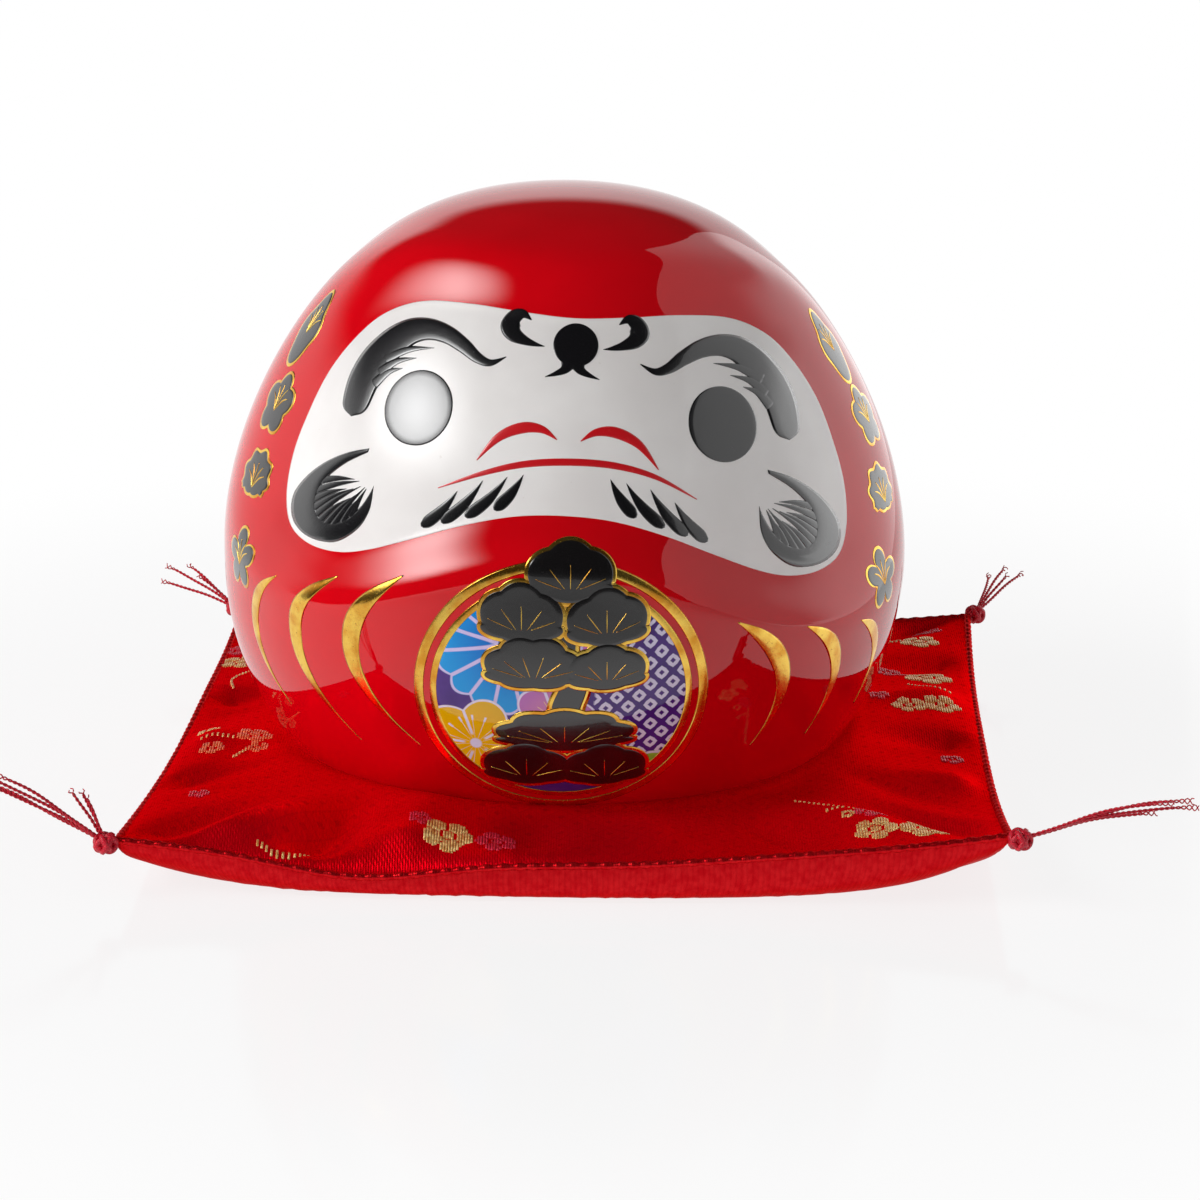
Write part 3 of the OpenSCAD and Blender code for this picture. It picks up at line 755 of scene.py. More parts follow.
def buildHairs(hairs):
    # each hair runs from its round head, low and outside, to its thin tail
    lines, widths = [], []
    for head, tail in hairs:
        head, tail = np.array(head), np.array(tail)
        along = tail - head
        bow = np.array([-along[1], along[0]]) * 0.06
        lines.append([head, head + along * 0.15 + bow * 0.5, head + along * 0.45 + bow,
                      head + along * 0.75 + bow * 0.7, tail])
        widths.append([0.5, 1.05, 0.95, 0.5, 0.04])
    return joined(bothSides(lines, widths))


whisker = {
    "outer": [(34.0, -4.9), (37.6, -5.6), (41.6, -7.2), (45.2, -9.8), (47.6, -13.2), (47.2, -17.4),
              (44.2, -20.2), (39.4, -21.0), (35.4, -18.8), (33.3, -15.4), (32.8, -11.2)],
    "inner": [(34.2, -5.6), (38.2, -7.6), (41.6, -10.4), (42.8, -12.8), (42.9, -14.9), (42.2, -16.6),
              (40.6, -17.6), (38.5, -17.4), (36.6, -16.4), (34.6, -14.4), (32.8, -11.4)],
    "root": (33.6, -9.4),
    "hairs": 10,
}


def buildWhiskers(w):
    # a filled crescent between two curves, with a comb of tapered hairs from its inner edge towards the root
    outer, inner = curveThrough(w["outer"], 6), curveThrough(w["inner"], 6)
    forms = []
    for flip in (1, -1):
        o, i = outer * [flip, 1], inner * [flip, 1]
        across = np.array([0, 0.12, 0.5, 0.88, 1, 0.88, 0.12])
        rise = np.array([0, 1, 1, 1, 0, -1.2, -1.2]) * glaze["ink"]
        uv = o[:, None] * (1 - across[:, None]) + i[:, None] * across[:, None]
        forms.append(closedForm(inkPoint(uv, np.broadcast_to(rise, uv.shape[:2])),
                                *inkPoint(np.array([o[0], o[-1]]), np.zeros(2))))
    lines, widths = [], []
    for k in range(w["hairs"]):
        at = inner[int((0.2 + 0.62 * k / (w["hairs"] - 1)) * (len(inner) - 1))]
        aim = np.array(w["root"]) - at
        length = 0.66 + 0.14 * math.sin(k * 2.1)
        tip = at + aim * length + np.array([-aim[1], aim[0]]) * 0.06
        lines.append([at - aim * 0.08, at + aim * length * 0.45, tip])
        widths.append([0.7, 0.45, 0.05])
    return joined(forms + bothSides(lines, widths, lift=0.06))


e = features
makePiece("eyes", buildEyes(e["eye"]), [blackInk], "doll", ["eye_enamel"])
makePiece("brows", buildBrows(e["brow"]), [blackInk], "doll", ["brow_enamel"])
makePiece("nose", buildNose(e["nose"], e["comma"]), [blackInk], "doll", ["nose_enamel"])
mouthForms = bothSides([e["lip"]["line"]], [e["lip"]["half"]])
mouthForms.append(strokeForm(e["mouth"]["line"], e["mouth"]["half"], inkPoint, 0.07))
makePiece("mouth", joined(mouthForms), [redInk], "doll", ["mouth_enamel"])
makePiece("moustache", buildHairs(e["hairs"]), [blackInk], "doll", ["moustache_enamel"])
makePiece("whiskers", buildWhiskers(whisker), [blackInk], "doll", ["whisker_enamel"])
print("face painted")


def badgeOval(shrink, n=144):
    return oval(medal["width"] - 2 * shrink, medal["tall"] - 2 * shrink, n)


def buildBand(start, width, lift):
    # a closed low ring between two ovals
    across = np.array([0, 0.15, 0.5, 0.85, 1, 0.85, 0.15])
    rise = np.array([0, 0.8, 1, 0.8, 0, -1.2, -1.2]) * lift
    rows = np.array([badgeOval(start + width * a) for a in across])
    return closedForm(medalPoint(rows, rise[:, None] + np.zeros(rows.shape[:2])), wrapRows=True)


def buildBadge():
    edge = badgeOval(3.6)
    rings = (0.93, 0.87, 0.8, 0.72, 0.62, 0.5, 0.38, 0.26, 0.13)
    form = blobForm(edge, np.zeros(2), medalPoint, glaze["badge"], rings)
    uv = fromPlane(medal["stencil"], form[0]) / 50 + 0.5
    return form, uv


badgeForm, badgeUV = buildBadge()
makePiece("badge", badgeForm, [badgeEnamel], "doll", ["medallion_disc"], uv=badgeUV)
bands = joined([buildBand(start, width, 0.09) for start, width in medal["bands"]])
makePiece("badgeBands", bands, [goldLustre], "doll", ["medallion_rim"])


def scallop(width, tall, bumps, at, n=96):
    # a pine-cloud pad: flat half below, and above it an arch whose radius swells bumps times
    t = np.arange(n) / n * 2 * math.pi
    wave = 1 + 0.11 * (np.abs(np.sin(bumps * t)) - 0.4)
    flat = np.where(np.sin(t) < 0, 0.42, 1.0)
    return np.stack([width / 2 * np.cos(t) * wave, tall * np.sin(t) * flat * wave], -1) + at


pine = {
    # centre, width, height and bumps of each cloud of needles, from the crown of the tree downwards
    "clouds": [((1.6, 18.6), 13.6, 6.2, 3), ((-6.2, 12.2), 13.4, 6.4, 3), ((7.4, 11.6), 13.0, 6.2, 3),
               ((-4.4, 4.4), 15.6, 6.0, 4), ((7.4, 3.8), 12.6, 5.2, 3)],
    "mounds": [((0.6, -7.4), 22.0, 5.2, 5), ((-5.6, -14.4), 14.2, 5.8, 3), ((7.0, -14.6), 13.6, 5.8, 3)],
    "trunk": [(1.4, 20.0), (2.2, 14.0), (0.6, 8.5), (2.2, 3.0), (0.8, -2.0), (1.6, -6.5)],
    "trunkHalf": [0.8, 1.6, 2.0, 2.3, 2.6, 3.2],
    "edge": 0.55,      # width of gold round each shape
}


def buildPine(p):
    gold, black = [], []
    lift = glaze["badge"]

    def place(uv, rise):
        return medalPoint(uv, np.asarray(rise) + lift)

    def grown(outline, by):
        t = np.roll(outline, -1, 0) - np.roll(outline, 1, 0)
        n = np.stack([t[:, 1], -t[:, 0]], -1)
        return outline + n / np.linalg.norm(n, axis=1, keepdims=True) * by

    edge = p["edge"]
    gold.append(strokeForm(p["trunk"], np.array(p["trunkHalf"]) + edge, place, 0.05))
    black.append(strokeForm(p["trunk"], p["trunkHalf"], place, 0.1))
    for k, (at, width, tall, bumps) in enumerate(p["clouds"] + p["mounds"]):
        outline = scallop(width, tall, bumps, at)
        gold.append(blobForm(grown(outline, edge), np.array(at), place, 0.125 + 0.006 * k))
        black.append(blobForm(outline, np.array(at), place, 0.17 + 0.006 * k))
        for j in range(bumps + 2):   # gold needles fanning from the pad's foot
            a = math.pi * (j + 0.7) / (bumps + 2.4)
            aim = np.array([math.cos(a) * width * 0.4, math.sin(a) * tall * 0.72])
            root = np.array(at) + (aim[0] * 0.3, -tall * 0.1)
            line = [root, root + aim * 0.4, root + aim * 0.8]
            gold.append(strokeForm(line, [0.04, 0.1, 0.04], place, 0.245 + 0.006 * k, 5))
    return joined(gold), joined(black)


pineGold, pineBlack = buildPine(pine)
makePiece("pineEdges", pineGold, [goldLustre], "doll")
makePiece("pineMotif", pineBlack, [charmInk], "doll")

stripes = {
    # each crescent's top, widest and bottom points: degrees round from the front, height above the table
    "lines": [((-25.9, 48.7), (-35.6, 35.2), (-24.6, 19.6)), ((-39.3, 46.7), (-48.2, 34.6), (-37.1, 18.4)),
              ((-53.4, 44.2), (-61.2, 34.3), (-54.3, 21.4)), ((28.8, 40.8), (38.4, 30.4), (34.6, 17.8)),
              ((42.6, 37.9), (51.4, 29.6), (48.4, 17.0)), ((57.2, 35.8), (65.4, 29.3), (64.0, 19.0))],
    "half": [1.75, 1.6, 1.35, 1.7, 1.5, 1.3],
}


def buildStripes(s):
    forms = []
    for (top, middle, low), half in zip(s["lines"], s["half"]):
        pts = np.array([top, middle, low], float) * [math.radians(1) * 55, 1]
        t = np.linspace(0, 1, 9)[:, None]
        control = 2 * pts[1] - (pts[0] + pts[2]) / 2
        line = (1 - t)**2 * pts[0] + 2 * t * (1 - t) * control + t**2 * pts[2]
        width = half * np.sin(math.pi * np.linspace(0.01, 0.99, 9)**0.72)**1.25
        forms.append(strokeForm(line, width, wrapPoint, 0.09, 6))
    return joined(forms)


makePiece("robeStripes", buildStripes(stripes), [goldLustre], "doll", ["robe_stripes"])

charms = {
    # degrees round from the front, height above the table
    "places": [(-73.8, 82.0), (-70.5, 69.8), (-68.6, 57.1), (-66.5, 44.4),
               (77, 78.6), (77, 66.4), (72.7, 53.7), (66, 41.0)],
    "size": 10.4,
    "edge": 0.5,
}


def charmOutline(kind, size, n=72):
    # gourd, plum, fan and maple leaf as radius against angle
    t = np.arange(n) / n * 2 * math.pi
    if kind == 0:
        r = 0.34 + 0.16 * np.abs(np.sin(t))**1.5 - 0.05 * np.sin(t) + 0.05 * np.cos(4 * t)
    elif kind == 1:
        r = 0.34 + 0.13 * np.abs(np.cos(2.5 * (t - math.pi / 2)))
    elif kind == 2:
        r = 0.4 + 0.08 * np.sin(t) + 0.035 * np.cos(9 * t) * (np.sin(t) > -0.3)
        r = np.where(np.sin(t) < -0.55, 0.2 + 0.1 * np.abs(np.cos(t)), r)
    else:
        r = 0.22 + 0.26 * np.abs(np.cos(2.5 * (t - math.pi / 2)))**0.7
    return np.stack([r * np.cos(t), r * np.sin(t)], -1) * size


def buildCharms(c):
    gold, dark = [], []
    for k, (azimuth, height) in enumerate(c["places"]):
        at = np.array([math.radians(azimuth) * 55, height])
        shape = charmOutline(k % 4, c["size"])
        grown = shape * (1 + c["edge"] / np.hypot(shape[:, 0], shape[:, 1]))[:, None]
        gold.append(blobForm(grown + at, at, wrapPoint, 0.06))
        dark.append(blobForm(shape + at, at, wrapPoint, 0.1))
        for j in range(5):
            a = math.pi * (0.14 + 0.18 * j)
            tip = at + np.array([math.cos(a), math.sin(a)]) * c["size"] * 0.3
            vein = [at + (0, -1.2), (at + tip) / 2, tip]
            gold.append(strokeForm(vein, [0.06, 0.2, 0.05], wrapPoint, 0.15, 4))
    return joined(gold), joined(dark)


charmGold, charmDark = buildCharms(charms)
makePiece("charmEdges", charmGold, [goldLustre], "doll")
makePiece("sideCharms", charmDark, [charmInk], "doll", ["side_charms"])
print("badge, stripes and charms made")


def makeRubber():
    material, wire, shader = startMaterial("bungRubber", {"Specular IOR Level": 0.35})
    place = objectPlace(wire)
    dust = noise(wire, place, 0.5, 4.0, 0.6).fade(0.4, 0.75)
    plug(dust.paint(srgb(38, 37, 38), srgb(66, 63, 62)), shader, "Base Color")
    plug(dust * 0.2 + 0.55, shader, "Roughness")
    bumped(wire, shader, noise(wire, place, 2.5, 3.0), 0.3, 0.3)
    return material


def buildBung():
    # turned section: flange outside, plug in the hole, a cup below with a pull post in it
    low, high = (corner[2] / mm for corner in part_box("base_bung"))
    rz = np.array([
        (0.6, 1.6), (3.0, 1.4), (4.0, 0.9), (4.4, 0.5), (4.5, 1.2), (4.5, 3.9), (4.9, 4.3), (7.3, 4.3),
        (7.8, 3.9), (7.9, 1.0), (8.3, 0.4), (9.0, 0.12), (13.3, 0.12), (13.75, 0.35), (13.8, 0.7),
        (13.6, 1.1), (13.2, 1.2), (11.2, 1.25), (10.9, 1.5), (10.9, 2.2), (10.7, 2.4), (10.9, 2.6),
        (10.9, 5.2), (10.5, 5.7), (6.0, 5.7), (2.0, 5.7)
    ])
    rz[:, 1] = low + rz[:, 1] / rz[-1, 1] * (high - low) * 0.999
    t = np.arange(96) / 96 * 2 * math.pi
    ring = np.stack([np.cos(t), np.sin(t)], -1)
    points = np.concatenate([rz[:, None, :1] * ring, np.broadcast_to(rz[:, None, 1:], (len(rz), 96, 1))], -1)
    return closedForm(points, np.array([0, 0, rz[0, 1]]), np.array([0, 0, rz[-1, 1]]))


makePiece("baseBung", buildBung(), [makeRubber()], "bung", ["base_bung"])

cushion = {
    "side": 142.0, "turn": -2.8, "shift": 3.5,
    "pull": 1.2, "frontPull": -1.6,        # how far the middle of an edge is drawn in; the front bulges
    "nest": 3.4,                           # height above the doll's base at which the cloth leaves the doll
    "gap": 0.45,
    "cornerSeam": (9.0, 12.0, 9.5, 9.0),   # front left, front right, back right, back left
    "middleSeam": 6.4,
    "edgeReach": 0.3,
    "waves": [
        # the seam's rise and fall: the edge as axis and sign, middle and half width along it, height
        (1, -1, -0.46, 0.24, -3.0), (1, -1, 0.5, 0.3, 0.6), (0, 1, -0.1, 0.4, 1.6), (0, -1, 0.2, 0.4, 1.2)
    ],
    "roll": (0.16, 4.5, 4.0),              # the soft roll against the doll: share of the height, place, width
    "leave": (4.0, 0.35),                  # how the cloth eases out of the nest: distance and starting share
    "foldGain": 1.8, "foldReach": 7.0,
    "topGather": (0.14, 3.2), "lowGather": (0.3, 5.0),   # height of the gathers at the seam, and their reach
    "turnUp": 0.8,                         # share of the way to the seam where the underside turns up
    "flatSeam": 5.2,                       # above this seam height the corners stand off the floor
    "bulge": 1.3,                          # how far the underside's edge swells past the seam
    "cloth": 0.5,
    "columns": 480,
}


def squareWay(th):
    q = np.stack([np.cos(th), np.sin(th)], -1)
    return q / np.abs(q).max(-1, keepdims=True)


def seamPoint(th):
    # a square outline with each side bowed between the corners, turned and shifted under the doll
    c = cushion
    q, k = squareWay(th), c["pull"] / (c["side"] / 2)
    x = c["side"] / 2 * q[..., 0] * (1 - k * (1 - q[..., 1]**2))
    kFront = np.where(q[..., 1] < 0, c["frontPull"] / (c["side"] / 2), k)
    y = c["side"] / 2 * q[..., 1] * (1 - kFront * (1 - q[..., 0]**2))
    a = math.radians(c["turn"])
    corner = (q[..., 0] * q[..., 1])**2
    number = np.where(q[..., 1] < 0, np.where(q[..., 0] < 0, 0, 1), np.where(q[..., 0] > 0, 2, 3))
    z = c["middleSeam"] * (1 - corner) + np.array(c["cornerSeam"])[number] * corner
    for axis, sign, middle, width, height in c["waves"]:
        near = np.exp(-((q[..., axis] - sign) / c["edgeReach"])**2)
        z += height * near * np.exp(-((q[..., 1 - axis] - middle) / width)**2)
    turnedX = x * math.cos(a) - y * math.sin(a) + c["shift"]
    return np.stack([turnedX, x * math.sin(a) + y * math.cos(a), z], -1)


def makeFolds(count, spread):
    # soft creases: each is a ridge or valley with a place, a direction, a length, a width and a height
    th = seed.uniform(0, 2 * math.pi, count)
    r = seed.uniform(52, 76, count)
    aim = th + seed.normal(0, spread, count)
    length, width = seed.uniform(6, 14, count), seed.uniform(1.8, 4.0, count)
    depth = seed.normal(0, 0.28, count)
    return np.stack([r * np.cos(th) + cushion["shift"], r * np.sin(th), aim, length, width, depth], -1)


chosenFolds = np.array([
    # x, y, direction, length, width, height
    (-60, -62, math.radians(222), 15, 4.5, -1.3), (-50, -60, math.radians(212), 16, 4.5, 1.5),
    (-37, -60, math.radians(246), 13, 4.2, -2.3), (-24, -62, math.radians(262), 12, 5.0, 1.3),
    (-4, -62, math.radians(275), 9, 6.0, -0.9), (16, -62, math.radians(280), 9, 5.5, 0.9),
    (34, -58, math.radians(300), 12, 4.6, -1.4), (50, -56, math.radians(312), 14, 5.0, 0.9),
    (63, -60, math.radians(316), 14, 3.2, -1.0), (64, -36, math.radians(332), 11, 4.6, 0.9),
    (66, -14, math.radians(350), 9, 5.0, -1.1), (67, 12, math.radians(8), 9, 5.0, 0.8),
    (66, 34, math.radians(28), 11, 4.6, -1.0), (-64, -34, math.radians(200), 11, 4.4, -1.2),
    (-63, -12, math.radians(184), 9, 5.0, 0.9), (-63, 16, math.radians(172), 9, 5.0, -1.0),
    (-60, 58, math.radians(135), 14, 4.5, -1.2), (64, 60, math.radians(45), 14, 4.5, -1.2),
    (0, 64, math.radians(90), 9, 5.0, -1.2), (-30, 63, math.radians(100), 9, 4.6, 0.9),
    (32, 63, math.radians(78), 9, 4.6, 0.8), (-46, 62, math.radians(118), 11, 4.0, -0.8),
    (48, 62, math.radians(62), 11, 4.0, -0.8)
])
folds = np.vstack([chosenFolds, makeFolds(34, 0.35)])


def foldHeight(x, y):
    z = np.zeros(x.shape)
    for fx, fy, aim, length, width, height in folds:
        along = (x - fx) * math.cos(aim) + (y - fy) * math.sin(aim)
        across = -(x - fx) * math.sin(aim) + (y - fy) * math.cos(aim)
        z += height * np.exp(-(along / length)**2 - (across / width)**2)
    return z


def perimeterPlace(th):
    # millimetres along the seam from the right-hand middle, growing with the angle
    turnAt = np.round(np.mod(th, 2 * math.pi) / (math.pi / 2))
    local = np.mod(th + math.pi / 4, math.pi / 2) - math.pi / 4
    return (turnAt + np.tan(local) / 2) * cushion["side"]


def pucker(th, q, first, reach):
    # gathers of the cloth at the seam: uneven ripples across the edge that die out within reach of it
    s = perimeterPlace(th)
    wave = (np.sin(s * 1.9 + 1.3 * np.sin(s * 0.37 + first))
            + 0.7 * np.sin(s * 1.13 + first * 2 + np.sin(s * 0.61)) + 0.5 * np.sin(s * 3.3 + first * 3))
    swell = 0.6 + 0.4 * np.sin(s * 0.21 + first * 5)
    return wave * swell * np.exp(-q / reach)


nestRZ = outerRZ[outerRZ[:, 1] < cushion["nest"]]
nestRZ = (nestRZ + cushion["gap"] * sectionNormals(outerRZ)[outerRZ[:, 1] < cushion["nest"]])[::-1]
nestRadius = nestRZ[-1, 0]
nestTop = nestRZ[-1, 1] + doll["base"]


def towardsSeam(th, w):
    # places at share w of the way from the nest's rim to the seam, the seam itself and the whole way's length
    edge = seamPoint(th)
    start = np.stack([np.cos(th) * nestRadius, np.sin(th) * nestRadius], -1)
    xy = start * (1 - w[..., None]) + edge[..., :2] * w[..., None]
    return xy, edge, np.linalg.norm(edge[..., :2] - start, axis=-1)


def topPoint(th, w):
    # between the doll and the seam the cloth swells as (1 - w^3.4)^0.55, with a soft roll against the doll
    c = cushion
    xy, edge, span = towardsSeam(th, w)
    d = w * span
    fall = np.clip(1 - w**3.4, 0, 1)**0.55
    share, place, width = c["roll"]
    roll = 1 + share * np.exp(-((d - place) / width)**2) * smooth01(d / 1.5)
    high = nestTop + 0.6 * np.sin(2 * th + 0.6) + 0.5 * np.cos(3 * th)
    free = smooth01(d / c["leave"][0] + c["leave"][1])
    z = (edge[..., 2] + (high - edge[..., 2]) * fall * roll) * free + nestTop * (1 - free)
    toSeam = (1 - w) * span
    rim = smooth01(d / c["foldReach"]) * smooth01(toSeam / c["foldReach"])
    z += foldHeight(xy[..., 0], xy[..., 1]) * rim * c["foldGain"]
    gather, reach = c["topGather"]
    z += gather * pucker(th, toSeam, 0.4, reach) * smooth01(toSeam / 0.8)
    return np.concatenate([xy, z[..., None]], -1)


def lowPoint(th, w):
    # the underside lies flat, then turns up to the seam as a quarter of an ellipse
    c = cushion
    xy, edge, span = towardsSeam(th, w)
    u = np.clip((w - c["turnUp"]) / (1 - c["turnUp"]), 0, 1)
    corner = np.abs(squareWay(th)).min(-1)**4
    lift = np.clip(edge[..., 2] - c["flatSeam"], 0, None) * corner * smooth01((w - 0.6) / 0.35)
    outward = edge[..., :2] / np.linalg.norm(edge[..., :2], axis=-1, keepdims=True)
    xy = xy + outward * (c["bulge"] * (1 - corner) * np.sin(math.pi * u)**0.8)[..., None]
    z = lift + (edge[..., 2] - lift) * (1 - np.sqrt(np.clip(1 - u**2, 0, 1)))
    toSeam, (gather, reach) = (1 - w) * span, c["lowGather"]
    z += (0.5 + 0.5 * pucker(th, toSeam, 2.0, reach)) * gather * smooth01(u * 2.2) * smooth01(toSeam)
    return np.concatenate([xy, z[..., None]], -1)


def ringAngles():
    return np.arange(cushion["columns"]) / cushion["columns"] * 2 * math.pi


def spreadRows(count, power):
    # steps from the doll to the seam that close up near the seam
    t = np.linspace(0, 1, count + 1)[1:]
    return 1 - (1 - t)**power


def topRows(count, power=1.5, nestCount=12, sink=0.0):
    th = ringAngles()
    nest = evenly(nestRZ, max(1.0, 52 / nestCount))[1:-1]
    ring = np.stack([np.cos(th), np.sin(th)], -1)
    levels = np.broadcast_to(nest[:, None, 1:] + doll["base"], (len(nest), len(th), 1))
    nestRows = np.concatenate([nest[:, None, :1] * ring, levels], -1)
    w = np.concatenate([[0.0], spreadRows(count, power)])
    rows = np.concatenate([nestRows, topPoint(*np.broadcast_arrays(th[None], w[:, None]))])
    rows[..., 2] -= sink
    return rows


def lowRows(count, power=1.5, sink=0.0):
    th = ringAngles()
    w = np.concatenate([[0.0], spreadRows(count, power)])
    rows = lowPoint(*np.broadcast_arrays(th[None], w[:, None]))
    flat = np.stack([np.cos(th), np.sin(th), 0 * th], -1)
    rows = np.concatenate([flat[None] * (nestRadius * np.array([0.12, 0.35, 0.6, 0.8]))[:, None, None], rows])
    rows[..., 2] += sink
    return rows


def clothUV(points):
    return points[..., :2] / 400 + 0.5


def buildTopCover():
    upper = topRows(58)
    under = topRows(16, sink=cushion["cloth"])[::-1]
    points = np.concatenate([upper, under])
    form = closedForm(points, np.array([0, 0, doll["base"] - cushion["gap"]]),
                      np.array([0, 0, doll["base"] - cushion["gap"] - cushion["cloth"]]))
    return form, clothUV(form[0])


def buildLowCover():
    outside = lowRows(34, 1.35)
    inside = lowRows(14, sink=cushion["cloth"] * 0.8)[::-1]
    points = np.concatenate([outside, inside])
    form = closedForm(points, np.zeros(3), np.array([0, 0, cushion["cloth"] * 0.8]))
    th = np.arctan2(form[0][:, 1], form[0][:, 0] - cushion["shift"])
    return form, np.stack([perimeterPlace(th) / 800, np.hypot(form[0][:, 0], form[0][:, 1]) / 400], -1)


def buildWadding():
    upper = topRows(16, sink=cushion["cloth"] + 0.25)[:-1]
    under = lowRows(14, sink=cushion["cloth"] + 0.25)[:-1][::-1]
    return closedForm(np.concatenate([upper, under]),
                      np.array([0, 0, doll["base"] - cushion["gap"] - cushion["cloth"] - 0.25]),
                      np.array([0, 0, cushion["cloth"] + 0.25]))


def makeBrocade():
    # satin-faced silk: fine threads running front to back, crossed by a much finer twill, with a tonal figure
    material, wire, shader = startMaterial("brocade", {
        "Metallic": 0.72, "Specular Tint": srgb(240, 8, 26), "Specular IOR Level": 0.0
    })
    x, y, _ = wire.put("ShaderNodeUVMap", {"uv_map": "pattern"}).parts()
    x, y = x * 400.0 - 200.0, y * 400.0 - 200.0
    place = objectPlace(wire)
    warp = (x * (2 * math.pi / 0.42) + noise(wire, place, 0.6, 1.0) * 2.0).sin()
    twill = ((x + y * 0.6) * (2 * math.pi / 0.75)).sin()
    slub = noise(wire, place, 0.9, 3.0, 0.6)
    s, t = (x + y) / 5.2, (x - y) / 5.2
    lattice = (s.wrap(1.0) - 0.5).abs().high((t.wrap(1.0) - 0.5).abs())
    figure = lattice.fade(0.44, 0.48) * 0.5 + lattice.fade(0.16, 0.1)
    cloud = noise(wire, place, 0.05, 3.0).fade(0.3, 0.7)
    colour = cloud.paint(srgb(238, 0, 17), srgb(250, 2, 26))
    colour = (figure * 0.25).paint(colour, srgb(176, 0, 12))
    colour = ((1 - warp.abs()) * 0.25).paint(colour, srgb(150, 0, 10))
    plug(colour, shader, "Base Color")
    plug(0.36 + figure * 0.1 + slub * 0.12, shader, "Roughness")
    bumped(wire, shader, warp * 0.35 + twill * 0.25 + slub * 0.7 + figure * 0.4, 0.35, 0.12)
    return material


def makeSatin():
    # ribs run across the edge, so they are bands along the seam's length
    material, wire, shader = startMaterial("satin", {
        "Metallic": 0.8, "Specular Tint": srgb(226, 30, 36), "Specular IOR Level": 0.1
    })
    u, _, _ = wire.put("ShaderNodeUVMap", {"uv_map": "pattern"}).parts()
    place = objectPlace(wire)
    along = u * 800.0 + noise(wire, place, 0.12, 2.0) * 1.5
    rib = (along * (2 * math.pi / 0.85)).sin()
    fine = (along * (2 * math.pi / 0.4)).sin()
    slub = noise(wire, place, 0.8, 3.0, 0.6)
    colour = slub.fade(0.3, 0.7).paint(srgb(198, 14, 24), srgb(218, 30, 36))
    # painted shade: the grooves between the ribs, where the rib wave is low, are painted a darker red
    plug((rib.fade(0.2, -0.9) * 0.2).paint(colour, srgb(160, 0, 10)), shader, "Base Color")
    plug(0.3 + slub * 0.15, shader, "Roughness")
    bumped(wire, shader, rib * 0.4 + fine * 0.2 + slub * 0.6, 0.3, 0.12)
    return material


def makeWadding():
    material, wire, shader = startMaterial("wadding", {"Roughness": 0.95})
    place = objectPlace(wire)
    fluff = noise(wire, place, 0.4, 5.0, 0.7)
    plug(fluff.paint(srgb(226, 222, 212), srgb(246, 244, 238)), shader, "Base Color")
    bumped(wire, shader, fluff, 0.8, 1.0)
    return material


brocade, satin = makeBrocade(), makeSatin()
topForm, topUV = buildTopCover()
top = makePiece("cushionTopCover", topForm, [brocade], "cushion", ["cushion_top_cover"], uv=topUV)
lowForm, lowUV = buildLowCover()
low = makePiece("cushionBottomCover", lowForm, [satin], "cushion", ["cushion_bottom_cover"],
                uv=lowUV)
wadding = makePiece("cushionWadding", buildWadding(), [makeWadding()], "cushion",
                    ["cushion_filling"])
print("cushion made")


def onCloth(x, y):
    # the cloth's top above each place: the place is looked for between neighbouring lines that run from the
    # doll to the seam, where the cross product with the line changes sign
    th = ringAngles()
    start = np.stack([np.cos(th), np.sin(th)], -1) * nestRadius
    span = seamPoint(th)[:, :2] - start
    spot = np.stack([x.ravel(), y.ravel()], -1)
    angle, share = np.empty(len(spot)), np.empty(len(spot))
    for i in range(0, len(spot), 4000):
        away = spot[i:i + 4000, None] - start
        side = span[:, 0] * away[..., 1] - span[:, 1] * away[..., 0]
        along = (away * span).sum(-1) / (span * span).sum(-1)
        turned = (side > 0) & (np.roll(side, -1, 1) <= 0) & (along > -0.1)
        j = np.argmax(turned, 1)
        k, row = (j + 1) % len(th), np.arange(len(j))
        t = side[row, j] / (side[row, j] - side[row, k] + 1e-9)
        angle[i:i + 4000] = th[j] + t * th[1]
        share[i:i + 4000] = along[row, j] * (1 - t) + along[row, k] * t
    return topPoint(angle, np.clip(share, 0, 0.999)).reshape(*x.shape, 3)


